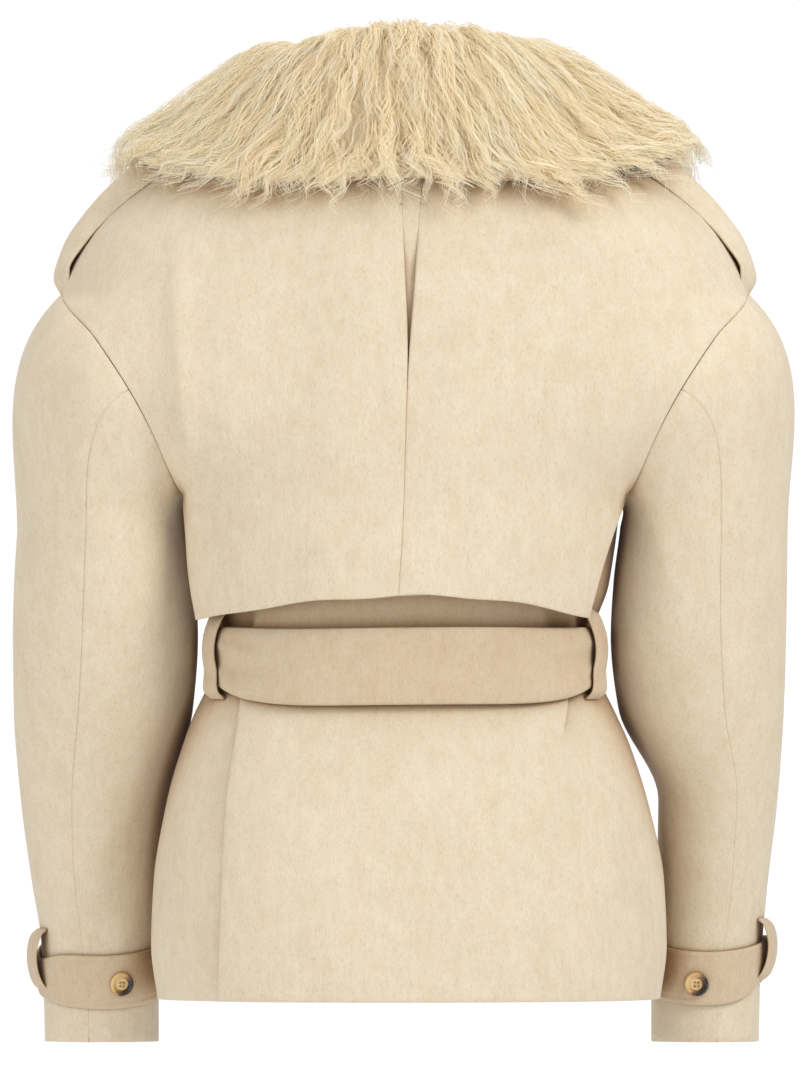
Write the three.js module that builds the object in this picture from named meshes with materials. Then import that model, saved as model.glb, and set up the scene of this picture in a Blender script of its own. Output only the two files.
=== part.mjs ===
// A cropped wool trench coat with a long-haired fur collar, filled out as if worn and open at neck, hem and cuffs.
// Millimetres, +Z up. The back faces -Y, the fronts face +Y and the wearer's left is -X.
// The origin is the middle of the neck, level with the points where the shoulders meet the collar.
import * as THREE from 'three';

// Cloth, in millimetres
const CLOTH = 2.4;
const FLAP_CLOTH = 2.2;
const STRAP_CLOTH = 3;
const BELT_CLOTH = 4.4;
const SEAM = 0.3;
const LAYER_GAP = 0.4;

// Heights that the panels share
const SHOULDER_TIP = -150;
const UNDERARM = -311;
const HEM = -691;
const SLEEVE_ROUND = -332;
const CUFF_END = -726;
const WAIST = -435;

// Widths and depths
const ROUNDNESS = 2.2;
const ARMHOLE_DEPTH = 95;
const ARMHOLE_FULLNESS = 0.95;
const BELT_HEIGHT = 60;
const BELT_HEIGHT_AT_LOOPS = 42;
const PLEAT_DEPTH = 21;
const BUTTON_DIAMETER = 18.5;
const BUTTON_THICKNESS = 3.6;

// How finely the walls are divided
const ARMHOLE_STEPS = 10;
const COLLAR_STEPS = 36;
const FOLD_STEPS = 3;

// The body of the coat: half its width at the seam that ends each panel, the depth of the back and of the front,
// and how far the skirt swings to the wearer's right
const BODY = [
  { z: 0, halfWidth: 75, back: 62, front: 60, shift: 0 },
  { z: -19, halfWidth: 110, back: 74, front: 72, shift: 0 },
  { z: -42, halfWidth: 150, back: 86, front: 84, shift: 0 },
  { z: -74, halfWidth: 193, back: 98, front: 97, shift: 0 },
  { z: -95, halfWidth: 217, back: 105, front: 104, shift: 0 },
  { z: -120, halfWidth: 240, back: 111, front: 111, shift: 0 },
  { z: -137, halfWidth: 253, back: 114, front: 114, shift: 0 },
  { z: -150, halfWidth: 261, back: 117, front: 116, shift: 0 },
  { z: -183, halfWidth: 237, back: 121, front: 121, shift: 0 },
  { z: -220, halfWidth: 213, back: 125, front: 126, shift: 0 },
  { z: -254, halfWidth: 194, back: 127, front: 129, shift: 0 },
  { z: -293, halfWidth: 176, back: 127, front: 129, shift: 0 },
  { z: -311, halfWidth: 166, back: 126, front: 127, shift: 0 },
  { z: -345, halfWidth: 160, back: 120, front: 120, shift: 0 },
  { z: -405, halfWidth: 147, back: 106, front: 105, shift: 0 },
  { z: -435, halfWidth: 144, back: 104, front: 103, shift: 0 },
  { z: -465, halfWidth: 150, back: 107, front: 106, shift: 0 },
  { z: -497, halfWidth: 168, back: 118, front: 117, shift: 1 },
  { z: -545, halfWidth: 186, back: 133, front: 131, shift: 2 },
  { z: -600, halfWidth: 196, back: 143, front: 141, shift: 3 },
  { z: -650, halfWidth: 198, back: 148, front: 146, shift: 3 },
  { z: -691, halfWidth: 193, back: 150, front: 148, shift: 3 },
];
const SHOULDER_LEVELS = [0, -12, -32, -60, -95, -123];
const SIDE_LEVELS = [-350, -400, -435, -466, -500, -545, -595, -643, HEM];

// The two tucks that shape the waist of the back: where each lies, and how far the middle stands over the side
const TUCKS = [
  { z: 0, left: 40, leftRise: 0, right: 38, rightRise: 0 },
  { z: -95, left: 110, leftRise: 0, right: 104, rightRise: 0 },
  { z: -330, left: 114, leftRise: 0, right: 107, rightRise: 0 },
  { z: -385, left: 115, leftRise: 4.5, right: 108, rightRise: 4 },
  { z: -462, left: 121, leftRise: 5.5, right: 120, rightRise: 5 },
  { z: -540, left: 132, leftRise: 8, right: 130, rightRise: 4 },
  { z: -600, left: 136, leftRise: 8.5, right: 134, rightRise: 1 },
  { z: -691, left: 139, leftRise: 8.5, right: 138, rightRise: 0 },
];
const TUCK_SLOPE = 5;

// The front edge of each front, from the neck along the V to the overlap
const FRONT_EDGE = [
  { z: 0, inset: 75 },
  { z: -30, inset: 69 },
  { z: -90, inset: 54 },
  { z: -150, inset: 31 },
  { z: -200, inset: 8 },
  { z: -235, inset: -22 },
  { z: -265, inset: -50 },
  { z: -691, inset: -50 },
];
const TURN_IN_START = 62;
const TURN_IN_END = 100;

// The storm flap over the back below its armhole seams: its side edges, how far back they lie, and its middle
const FLAP_FREE_FROM = -303;
const FLAP_CORNER = -398;
const FLAP_MIDDLE = -380;
const FLAP = [
  { z: -303, left: 173, leftBack: 48, right: 172, rightBack: 49, back: 135 },
  { z: -325, left: 169, leftBack: 56, right: 159, rightBack: 64, back: 137 },
  { z: -355, left: 167, leftBack: 54, right: 150, rightBack: 70, back: 139 },
  { z: -398, left: 159, leftBack: 52, right: 142, rightBack: 74, back: 140 },
];
const FLAP_ROWS_BELOW = 4;
const PLEAT = [
  { z: 0, middle: 6, gap: 24 },
  { z: -60, middle: 5, gap: 18 },
  { z: -128, middle: 4, gap: 11 },
  { z: -190, middle: 3, gap: 2.6 },
  { z: -205, middle: 2, gap: 0.5 },
  { z: -343, middle: -2, gap: 0.5 },
  { z: -398, middle: -5, gap: 0.5 },
];
const FLAP_LIFT = 2;
const SEAM_LIFT = 0.6;
const PLEAT_BED = 5.8;
const PLEAT_BED_FLAT = 42;
const PLEAT_BED_END = 95;

// The sleeves: their outer and inner sides, how far forward they hang and half their depth
const SLEEVE = [
  { z: -332, leftOut: 297, leftIn: 166, rightOut: 292, rightIn: 167, forward: 4, halfDepth: 78 },
  { z: -372, leftOut: 300, leftIn: 164.5, rightOut: 292, rightIn: 165, forward: 9, halfDepth: 75 },
  { z: -412, leftOut: 301, leftIn: 163, rightOut: 292, rightIn: 164, forward: 16, halfDepth: 72 },
  { z: -468, leftOut: 300, leftIn: 167, rightOut: 291, rightIn: 173, forward: 30, halfDepth: 67 },
  { z: -538, leftOut: 296, leftIn: 181, rightOut: 287, rightIn: 195, forward: 55, halfDepth: 59 },
  { z: -600, leftOut: 288, leftIn: 187, rightOut: 280, rightIn: 194, forward: 77, halfDepth: 53 },
  { z: -645, leftOut: 281, leftIn: 189, rightOut: 276, rightIn: 191, forward: 88, halfDepth: 50 },
  { z: -681, leftOut: 279, leftIn: 190, rightOut: 274, rightIn: 190, forward: 94, halfDepth: 48 },
  { z: -726, leftOut: 278, leftIn: 190, rightOut: 273, rightIn: 190, forward: 99, halfDepth: 47 },
];
const SLEEVE_HEAD_STEPS = [0, 0.14, 0.32, 0.54, 0.77];
const SLEEVE_LEVELS = [SLEEVE_ROUND, -372, -412, -465, -520, -575, -630, -680, CUFF_END];
const UPPER_SLEEVE_COLUMNS = 11;
const UNDER_SLEEVE_COLUMNS = 9;
const FRONT_SEAM_ANGLE = -108;
const BACK_SEAM = [
  { z: -222, angle: 90 },
  { z: -355, angle: 78 },
  { z: -525, angle: 73 },
  { z: -610, angle: 71 },
  { z: -700, angle: 78 },
];

// Shoulder straps, from the sleeve seam to the neck: their crest over the shoulder and their two long edges
const SHOULDER_STRAP = [
  { at: 0, crestX: 267.5, crestZ: -149, edgeX: 266, edgeZ: -149, halfY: 27 },
  { at: 1, crestX: 269, crestZ: -134, edgeX: 259, edgeZ: -128, halfY: 26 },
  { at: 2, crestX: 261, crestZ: -111, edgeX: 244, edgeZ: -107, halfY: 25 },
  { at: 3, crestX: 246, crestZ: -87, edgeX: 221, edgeZ: -84, halfY: 24 },
  { at: 4, crestX: 227, crestZ: -66, edgeX: 198, edgeZ: -66, halfY: 24 },
  { at: 5, crestX: 204, crestZ: -47, edgeX: 174, edgeZ: -49, halfY: 24 },
  { at: 6, crestX: 176, crestZ: -32, edgeX: 147, edgeZ: -31, halfY: 24 },
  { at: 7, crestX: 140, crestZ: -22, edgeX: 124, edgeZ: -18.2, halfY: 22 },
];

// The collar, from the middle of the back (0) past the shoulder (4) to the end of one side: the height of its seam
// on the front edge, its free edge and how it rolls
const COLLAR = [
  { at: 0, seamZ: 0, edgeX: 0, edgeY: -113, edgeZ: -62, roll: 104, inset: 14, lift: 57, upY: 0 },
  { at: 1, seamZ: 0, edgeX: 66, edgeY: -107, edgeZ: -64, roll: 102, inset: 18, lift: 56, upY: 0 },
  { at: 2, seamZ: 0, edgeX: 128, edgeY: -90, edgeZ: -62, roll: 96, inset: 34, lift: 46, upY: 0 },
  { at: 3, seamZ: 0, edgeX: 180, edgeY: -52, edgeZ: -50, roll: 86, inset: 56, lift: 34, upY: 0 },
  { at: 4, seamZ: 0, edgeX: 207, edgeY: 2, edgeZ: -38, roll: 80, inset: 66, lift: 30, upY: 0 },
  { at: 5, seamZ: -9, edgeX: 199, edgeY: 58, edgeZ: -62, roll: 72, inset: 60, lift: 32, upY: 0.2 },
  { at: 6, seamZ: -40, edgeX: 172, edgeY: 100, edgeZ: -102, roll: 58, inset: 46, lift: 34, upY: 0.6 },
  { at: 7, seamZ: -98, edgeX: 128, edgeY: 122, edgeZ: -146, roll: 38, inset: 32, lift: 26, upY: 1.4 },
  { at: 8, seamZ: -148, edgeX: 84, edgeY: 131, edgeZ: -180, roll: 24, inset: 20, lift: 18, upY: 3 },
  { at: 9, seamZ: -188, edgeX: 38, edgeY: 136, edgeZ: -206, roll: 12, inset: 8, lift: 9, upY: 5 },
];
const COLLAR_SHOULDER = 4;
const FUR = [
  { across: 0, depth: 7 },
  { across: 0.3, depth: 17 },
  { across: 0.6, depth: 24 },
  { across: 1, depth: 25 },
];
const FUR_REACH = 22;
const FUR_LOCK_DEPTH = 2.2;
const FUR_LOCK_LENGTH = 7;
const FUR_THIN_FROM = 6;
const COLLAR_COLUMNS = [0, 0.12, 0.25, 0.39, 0.54, 0.7, 0.85, 1];

// Small pieces
const BELT_COLUMNS = 40;
const BELT_LAP = 0.12;
const BELT_EASE = { side: 3.8, back: 10.5, front: 3.8 };
const BELT_LOOP = { across: 13, out: 11.8, top: -398, bottom: -462, angle: 69 };
const CUFF_STRAP = { height: 41, middle: -664, sag: 12, from: -106, to: 166, columns: 18, out: 1.5 };
const CUFF_LOOP = { across: 13, out: 7.4, top: -637, bottom: -692, angle: 4 };
const CUFF_BUTTON = { leftAngle: 109, rightAngle: 99, z: -680 };

const degrees = THREE.MathUtils.degToRad;

// A smooth curve through the rows of a table, as a function of one of its columns
function curveThrough(rows, key, value) {
  const points = rows.map((row) => [row[key], row[value]]).sort((a, b) => a[0] - b[0]);
  const rises = points.slice(1).map((p, i) => (p[1] - points[i][1]) / (p[0] - points[i][0]));
  const slopes = points.map((_, i) => {
    const before = rises[i - 1] ?? rises[i];
    const after = rises[i] ?? before;
    return before * after <= 0 ? 0 : (2 * before * after) / (before + after);
  });
  return (at) => {
    const x = THREE.MathUtils.clamp(at, points[0][0], points.at(-1)[0]);
    const i = Math.min(Math.max(points.findIndex((p) => p[0] >= x) - 1, 0), points.length - 2);
    const width = points[i + 1][0] - points[i][0];
    const t = (x - points[i][0]) / width;
    const rest = 1 - t;
    return points[i][1] * rest * rest * (1 + 2 * t) + points[i + 1][1] * t * t * (3 - 2 * t)
      + width * t * rest * (slopes[i] * rest - slopes[i + 1] * t);
  };
}

function curves(rows, key) {
  const names = Object.keys(rows[0]).filter((name) => name !== key);
  return Object.fromEntries(names.map((name) => [name, curveThrough(rows, key, name)]));
}

function spread(from, to, steps) {
  return Array.from({ length: steps + 1 }, (_, i) => from + ((to - from) * i) / steps);
}

function smooth(from, to, value) {
  return THREE.MathUtils.smoothstep(value, from, to);
}

// The way out of a surface at a point, from two short steps along it
function outward(surface, u, v, side) {
  const step = 1e-3;
  const across = surface(u + step, v).sub(surface(u - step, v));
  const along = surface(u, v + step).sub(surface(u, v - step));
  return across.cross(along).normalize().multiplyScalar(side);
}

// A closed shell between an outer and an inner grid of points
function shell(outer, inner, closed = false) {
  const rows = outer.length;
  const columns = outer[0].length;
  const positions = [];
  for (const grid of [outer, inner]) {
    for (const row of grid) {
      for (const point of row) {
        positions.push(point.x, point.y, point.z);
      }
    }
  }
  const at = (layer, i, j) => (layer * rows + i) * columns + (j % columns);
  const index = [];
  const quad = (a, b, c, d) => index.push(a, b, c, a, c, d);
  const spans = closed ? columns : columns - 1;
  for (let i = 0; i < rows - 1; i += 1) {
    for (let j = 0; j < spans; j += 1) {
      quad(at(0, i, j), at(0, i, j + 1), at(0, i + 1, j + 1), at(0, i + 1, j));
      quad(at(1, i, j), at(1, i + 1, j), at(1, i + 1, j + 1), at(1, i, j + 1));
    }
  }
  for (let j = 0; j < spans; j += 1) {
    quad(at(0, 0, j + 1), at(0, 0, j), at(1, 0, j), at(1, 0, j + 1));
    quad(at(0, rows - 1, j), at(0, rows - 1, j + 1), at(1, rows - 1, j + 1), at(1, rows - 1, j));
  }
  if (!closed) {
    for (let i = 0; i < rows - 1; i += 1) {
      quad(at(0, i, 0), at(0, i + 1, 0), at(1, i + 1, 0), at(1, i, 0));
      quad(at(0, i + 1, columns - 1), at(0, i, columns - 1), at(1, i, columns - 1), at(1, i + 1, columns - 1));
    }
  }
  return faceOut(positions, index);
}

// Turns every triangle round if the closed mesh faces in
function faceOut(positions, index) {
  const corner = (k) => new THREE.Vector3().fromArray(positions, index[k] * 3);
  let volume = 0;
  for (let k = 0; k < index.length; k += 3) {
    volume += corner(k).dot(corner(k + 1).cross(corner(k + 2)));
  }
  if (volume < 0) {
    index.reverse();
  }
  const geometry = new THREE.BufferGeometry();
  geometry.setAttribute('position', new THREE.Float32BufferAttribute(positions, 3));
  geometry.setIndex(index);
  geometry.computeVertexNormals();
  return geometry;
}

// A wall of cloth on a surface: each point of the grid moved in along the way out, or along a seam's own direction
function wall(surface, grid, thickness, side, seamDirection = () => null) {
  const outer = grid.map((row) => row.map(([u, v]) => surface(u, v)));
  const inner = grid.map((row, i) => row.map(([u, v], j) => {
    const way = seamDirection(u, v, i, j) ?? outward(surface, u, v, side);
    return outer[i][j].clone().addScaledVector(way, -thickness);
  }));
  return shell(outer, inner);
}

// Materials
const wool = { color: 0xe6d7bd, roughness: 0.92, metalness: 0 };
const fleece = { color: 0xe6d0ab, roughness: 0.85, metalness: 0 };
const horn = { color: 0xb98a4e, roughness: 0.28, metalness: 0 };

const coat = new THREE.Group();

function add(name, geometry, finish) {
  const mesh = new THREE.Mesh(geometry, new THREE.MeshStandardMaterial({ ...finish, side: THREE.DoubleSide }));
  mesh.name = name;
  coat.add(mesh);
  return mesh;
}

// The body
const body = curves(BODY, 'z');
const frontEdge = curves(FRONT_EDGE, 'z');
const tucks = curves(TUCKS, 'z');

const armholeMiddle = (SHOULDER_TIP + UNDERARM) / 2;
const armholeHalf = (SHOULDER_TIP - UNDERARM) / 2;

function armholeHeight(angle) {
  return armholeMiddle + armholeHalf * Math.cos(angle);
}

function armholeBack(z) {
  const cosine = (z - armholeMiddle) / armholeHalf;
  if (Math.abs(cosine) >= 1) {
    return 0;
  }
  return ARMHOLE_DEPTH * (1 - cosine * cosine) ** (ARMHOLE_FULLNESS / 2);
}

// The angle round the body at which a point so far from the middle, or so far back, lies
function angleFromDepth(depth, halfDepth) {
  return Math.acos(Math.min(1, depth / halfDepth) ** (ROUNDNESS / 2));
}

function angleFromWidth(x, halfWidth) {
  return Math.sign(x) * Math.asin(Math.min(1, Math.abs(x) / halfWidth) ** (ROUNDNESS / 2));
}

function rounded(value) {
  return Math.sign(value) * Math.abs(value) ** (2 / ROUNDNESS);
}

// Half-width of the whole oval, and the angle at which the panel ends, at one height
function bodySection(z, face) {
  const depth = face < 0 ? body.back(z) : body.front(z);
  const end = angleFromDepth(armholeBack(z), depth);
  return { depth, end, halfWidth: body.halfWidth(z) / rounded(Math.sin(end)) };
}

function bodyPoint(face, angle, z, out = 0) {
  const { depth, halfWidth } = bodySection(z, face);
  return new THREE.Vector3(
    body.shift(z) + (halfWidth + out) * rounded(Math.sin(angle)),
    face * (depth + out) * rounded(Math.cos(angle)),
    z,
  );
}

const armholeLevels = spread(0, Math.PI, ARMHOLE_STEPS).map(armholeHeight);
const bodyLevels = [...SHOULDER_LEVELS, ...armholeLevels, ...SIDE_LEVELS];

// Along the armhole the walls of body and sleeve share one direction, so that their inner edges meet too
function armholeOut(angle, face, side) {
  const cosine = Math.cos(angle);
  const top = new THREE.Vector3(side * 0.93, 0, 0.36).multiplyScalar(Math.max(cosine, 0));
  const bottom = new THREE.Vector3(side * -0.1, 0, -1).multiplyScalar(Math.max(-cosine, 0));
  return top.add(bottom).add(new THREE.Vector3(0, face * Math.sin(angle), 0)).normalize();
}

function armholeDirection(face) {
  return (angle, z) => {
    const cosine = (z - armholeMiddle) / armholeHalf;
    if (Math.abs(cosine) > 1 + 1e-6 || Math.abs(angle) < bodySection(z, face).end * 0.97) {
      return null;
    }
    return armholeOut(Math.acos(THREE.MathUtils.clamp(cosine, -1, 1)), face, Math.sign(angle));
  };
}

function seamShare(depth) {
  return SEAM / 1.6 / depth;
}

// The back, one panel with a tuck on each side of the waist
function tuckRise(x, z) {
  const left = tucks.leftRise(z) * smooth(-tucks.left(z) - TUCK_SLOPE, -tucks.left(z), x);
  const right = tucks.rightRise(z) * smooth(-tucks.right(z) - TUCK_SLOPE, -tucks.right(z), -x);
  return x < 0 ? left + (tucks.rightRise(z) - tucks.leftRise(z)) * smooth(-tucks.left(z), 0, x) : right;
}

function backSurface(angle, z) {
  const plain = bodyPoint(-1, angle, z);
  return bodyPoint(-1, angle, z, tuckRise(plain.x, z));
}

function backRow(z) {
  const { halfWidth, end, depth } = bodySection(z, -1);
  const last = end - seamShare(depth);
  const at = (x) => angleFromWidth(x, halfWidth);
  const left = tucks.left(z);
  const right = tucks.right(z);
  return [
    ...spread(-last, at(-left - TUCK_SLOPE), 4),
    ...spread(at(-left), at(right), 6),
    ...spread(at(right + TUCK_SLOPE), last, 4),
  ].map((angle) => [angle, z]);
}

add('back', wall(backSurface, bodyLevels.map(backRow), CLOTH, 1, armholeDirection(-1)), wool);

// The fronts: the wearer's right one laps over the left one below the V
function frontPanel(side) {
  const surface = (angle, z) => {
    const plain = bodyPoint(1, angle, z);
    const lap = side > 0 ? 0 : (CLOTH + 4 * LAYER_GAP) * smooth(-TURN_IN_END, -TURN_IN_START, plain.x);
    return bodyPoint(1, angle, z, -lap * (1 - smooth(-235, -170, z)));
  };
  const rows = bodyLevels.map((level) => {
    const z = Math.min(level, -3);
    const { halfWidth, end, depth } = bodySection(z, 1);
    const inner = angleFromWidth(frontEdge.inset(z), halfWidth);
    return spread(inner, end - seamShare(depth), 7).map((angle) => [side * angle, z]);
  });
  return wall(surface, rows, CLOTH, -1, armholeDirection(1));
}

add('front_left', frontPanel(-1), wool);
add('front_right', frontPanel(1), wool);

// The storm flap, one piece with an inverted pleat down its middle
const flap = curves(FLAP, 'z');
const pleat = curves(PLEAT, 'z');
const foldRadius = (FLAP_CLOTH + LAYER_GAP) / 2;

function pleatBed(x) {
  return PLEAT_BED * (1 - smooth(PLEAT_BED_FLAT, PLEAT_BED_END, Math.abs(x)));
}

function flapSection(z, side) {
  if (z > FLAP_FREE_FROM) {
    return bodySection(z, -1);
  }
  const edge = side < 0 ? flap.left(z) : flap.right(z);
  const edgeBack = side < 0 ? flap.leftBack(z) : flap.rightBack(z);
  const depth = flap.back(z);
  const end = angleFromDepth(edgeBack, depth);
  return { depth, end, halfWidth: edge / rounded(Math.sin(end)) };
}

function flapHeight(x, z) {
  if (z > FLAP_FREE_FROM) {
    return z;
  }
  const share = (FLAP_FREE_FROM - z) / (FLAP_FREE_FROM - FLAP_CORNER);
  const bottom = FLAP_MIDDLE + (FLAP_CORNER - FLAP_MIDDLE) * (Math.abs(x) / 150) ** 2;
  return FLAP_FREE_FROM + share * (bottom - FLAP_FREE_FROM);
}

// The flap's face: the back's own surface down to the end of the armhole seams, then a free hanging sheet
function flapBase(angle, z) {
  const { halfWidth, depth } = flapSection(z, angle);
  const x = halfWidth * rounded(Math.sin(angle));
  return new THREE.Vector3(x, -depth * rounded(Math.cos(angle)), flapHeight(x, z));
}

function flapPoint(angle, z, height) {
  const base = flapBase(angle, z);
  const atSeam = z > FLAP_FREE_FROM && Math.abs(angle) > flapSection(z, angle).end * 0.97;
  const way = (atSeam && armholeDirection(-1)(angle, z)) || outward(flapBase, angle, z, 1);
  const bed = atSeam ? SEAM_LIFT : FLAP_LIFT + pleatBed(base.x);
  const lift = z > FLAP_FREE_FROM ? FLAP_CLOTH + bed : 0;
  return base.addScaledVector(way, lift + height);
}

// The cloth's middle line across the pleat, as distance from the middle of the coat and height off the flap's face
function foldedLine(z) {
  const middle = pleat.middle(z);
  const half = pleat.gap(z) / 2;
  const level = (layer) => -FLAP_CLOTH / 2 - 2 * foldRadius * layer;
  const arc = (x, layer, side, turn) => spread(90, -90, FOLD_STEPS).map((a) => [
    x + side * foldRadius * Math.cos(degrees(a)) * turn,
    level(layer) - foldRadius + foldRadius * Math.sin(degrees(a)),
  ]);
  const lip = half + foldRadius;
  const hidden = half + PLEAT_DEPTH;
  const left = [...arc(-lip, 0, 1, 1), ...arc(-hidden, 1, 1, -1)];
  const right = [...left].reverse().map(([x, y]) => [-x, y]);
  return [...left, [0, level(2)], ...right].map(([x, y]) => [x + middle, y]);
}

// One row of the flap, as angles round the body with the height of its outer and inner face
function flapRow(z) {
  const line = foldedLine(z);
  const half = FLAP_CLOTH / 2;
  const leftHalf = flapSection(z, -1);
  const rightHalf = flapSection(z, 1);
  const plain = (from, to) => spread(from, to, 6).map((angle) => [[angle, 0], [angle, -FLAP_CLOTH]]);
  const folded = line.slice(1, -1).map(([x, height], k) => {
    const along = new THREE.Vector2(line[k + 2][0] - line[k][0], line[k + 2][1] - line[k][1]).normalize();
    return [half, -half].map((step) => {
      const across = x - along.y * step;
      return [angleFromWidth(across, flapSection(z, across).halfWidth), height + along.x * step];
    });
  });
  return [
    ...plain(seamShare(leftHalf.depth) - leftHalf.end, angleFromWidth(line[0][0], leftHalf.halfWidth)),
    ...folded,
    ...plain(angleFromWidth(line.at(-1)[0], rightHalf.halfWidth), rightHalf.end - seamShare(rightHalf.depth)),
  ];
}

function flapShell() {
  const rows = [-2, ...bodyLevels.filter((z) => z < -2 && z > FLAP_FREE_FROM),
    ...spread(FLAP_FREE_FROM, FLAP_CORNER, FLAP_ROWS_BELOW)];
  const faces = [0, 1].map((face) => rows.map((z) => flapRow(z).map((pair) => flapPoint(pair[face][0], z, pair[face][1]))));
  return shell(faces[0], faces[1]);
}

add('storm_flap', flapShell(), wool);

// The sleeves, each of an upper and an under piece with a seam down the back and down the front of the arm
const sleeve = curves(SLEEVE, 'z');
const backSeam = curveThrough(BACK_SEAM, 'z', 'angle');

function sleeveRing(side, angle, z, out = 0) {
  const far = side < 0 ? sleeve.leftOut(z) : sleeve.rightOut(z);
  const near = side < 0 ? sleeve.leftIn(z) : sleeve.rightIn(z);
  return new THREE.Vector3(
    side * ((far + near) / 2 + ((far - near) / 2 + out) * Math.cos(angle)),
    sleeve.forward(z) - (sleeve.halfDepth(z) + out) * Math.sin(angle),
    z,
  );
}

// A point of the sleeve's head, from the armhole seam to the first level ring
function sleeveHead(side, angle, share) {
  const z = armholeHeight(angle);
  const face = Math.sin(angle) >= 0 ? -1 : 1;
  const section = bodySection(z, face);
  const seam = bodyPoint(face, side * section.end, z);
  const turn = Math.abs(Math.sin(angle));
  const cosine = Math.cos(angle);
  const leave = new THREE.Vector3(side * 0.35, 0, -0.94).multiplyScalar(Math.max(cosine, 0))
    .add(new THREE.Vector3(side * 0.5, 0, -0.9).multiplyScalar(Math.max(-cosine, 0)))
    .add(new THREE.Vector3(side * 0.85, 0, -0.5).multiplyScalar(turn)).normalize();
  seam.addScaledVector(leave, SEAM).addScaledVector(armholeOut(Math.abs(angle), face, side), 0.6);
  const ring = sleeveRing(side, angle, SLEEVE_ROUND);
  const chord = ring.distanceTo(seam);
  const t = share;
  const down = new THREE.Vector3(0, 0, -1);
  return seam.multiplyScalar((1 + 2 * t) * (1 - t) ** 2)
    .addScaledVector(leave, chord * t * (1 - t) ** 2)
    .addScaledVector(ring, t * t * (3 - 2 * t))
    .addScaledVector(down, -chord * t * t * (1 - t));
}

// v runs from -1 at the armhole through 0 at the first level ring, then counts millimetres down the arm
function sleeveSurface(side) {
  return (angle, v) => (v < 0 ? sleeveHead(side, angle, v + 1) : sleeveRing(side, angle, SLEEVE_ROUND - v));
}

function sleevePiece(side, upper) {
  const surface = sleeveSurface(side);
  const levels = [...SLEEVE_HEAD_STEPS.map((step) => step - 1), ...SLEEVE_LEVELS.map((z) => SLEEVE_ROUND - z)];
  const rows = levels.map((v) => {
    const z = v < 0 ? -222 + (SLEEVE_ROUND + 222) * (v + 1) : SLEEVE_ROUND - v;
    const back = degrees(backSeam(z));
    const front = degrees(FRONT_SEAM_ANGLE);
    const gap = SEAM / 2 / 45;
    const angles = upper
      ? spread(front + gap, back - gap, UPPER_SLEEVE_COLUMNS)
      : spread(back + gap, front + 2 * Math.PI - gap, UNDER_SLEEVE_COLUMNS);
    return angles.map((angle) => [angle, v]);
  });
  const seam = (angle, v) => {
    if (v > -1) {
      return null;
    }
    const turned = angle > Math.PI ? angle - 2 * Math.PI : angle;
    return armholeOut(Math.abs(turned), turned >= 0 ? -1 : 1, side);
  };
  return wall(surface, rows, CLOTH, side, seam);
}

for (const [side, name] of [[-1, 'left'], [1, 'right']]) {
  add(`sleeve_upper_${name}`, sleevePiece(side, true), wool);
  add(`sleeve_under_${name}`, sleevePiece(side, false), wool);
}

// Shoulder straps, bowed over the shoulder and caught in the sleeve seam
const strap = curves(SHOULDER_STRAP, 'at');

function shoulderStrap(side) {
  const surface = (across, at) => {
    const droop = 1 - Math.cos((across * Math.PI) / 2);
    return new THREE.Vector3(
      side * THREE.MathUtils.lerp(strap.crestX(at), strap.edgeX(at), droop),
      strap.halfY(at) * across,
      THREE.MathUtils.lerp(strap.crestZ(at), strap.edgeZ(at), droop),
    );
  };
  const rows = spread(0, 7, 10).map((at) => spread(-1, 1, 4).map((across) => [across, at]));
  return wall(surface, rows, STRAP_CLOTH, side);
}

add('shoulder_strap_left', shoulderStrap(-1), wool);
add('shoulder_strap_right', shoulderStrap(1), wool);

// The collar: a cloth under collar, and the fur over it
const otherSide = COLLAR.slice(1).map((row) => ({ ...row, at: -row.at, edgeX: -row.edgeX }));
const collar = curves([...otherSide, ...COLLAR], 'at');
const furDepth = curveThrough(FUR, 'across', 'depth');
const collarEnd = COLLAR.length - 1;

// The neck seam: along the top of the back, then down the front edge
function neckSeam(at) {
  const side = Math.sign(at);
  const turn = Math.abs(at) / COLLAR_SHOULDER;
  if (turn <= 1) {
    return bodyPoint(-1, (at / COLLAR_SHOULDER) * (Math.PI / 2), 0);
  }
  const z = collar.seamZ(at);
  return bodyPoint(1, side * angleFromWidth(frontEdge.inset(z), bodySection(z, 1).halfWidth), z);
}

// The collar's own line from its seam, over the roll, to its free edge
function collarSurface(across, at) {
  const up = new THREE.Vector3(0, collar.upY(at), 1).normalize();
  const seam = neckSeam(at);
  const edge = new THREE.Vector3(collar.edgeX(at), collar.edgeY(at), collar.edgeZ(at));
  const outwards = edge.clone().sub(seam).addScaledVector(up, -edge.clone().sub(seam).dot(up)).normalize();
  const start = seam.clone().addScaledVector(up, 1);
  const rollPoint = seam.clone().addScaledVector(up, collar.roll(at)).addScaledVector(outwards, 5);
  const fallPoint = edge.clone().addScaledVector(up, collar.lift(at)).addScaledVector(outwards, -collar.inset(at));
  return new THREE.CubicBezierCurve3(start, rollPoint, fallPoint, edge).getPoint(across);
}

const collarStations = spread(-collarEnd, collarEnd, COLLAR_STEPS);

function underCollar() {
  return wall(collarSurface, collarStations.map((at) => COLLAR_COLUMNS.map((across) => [across, at])), CLOTH, 1);
}

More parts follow.
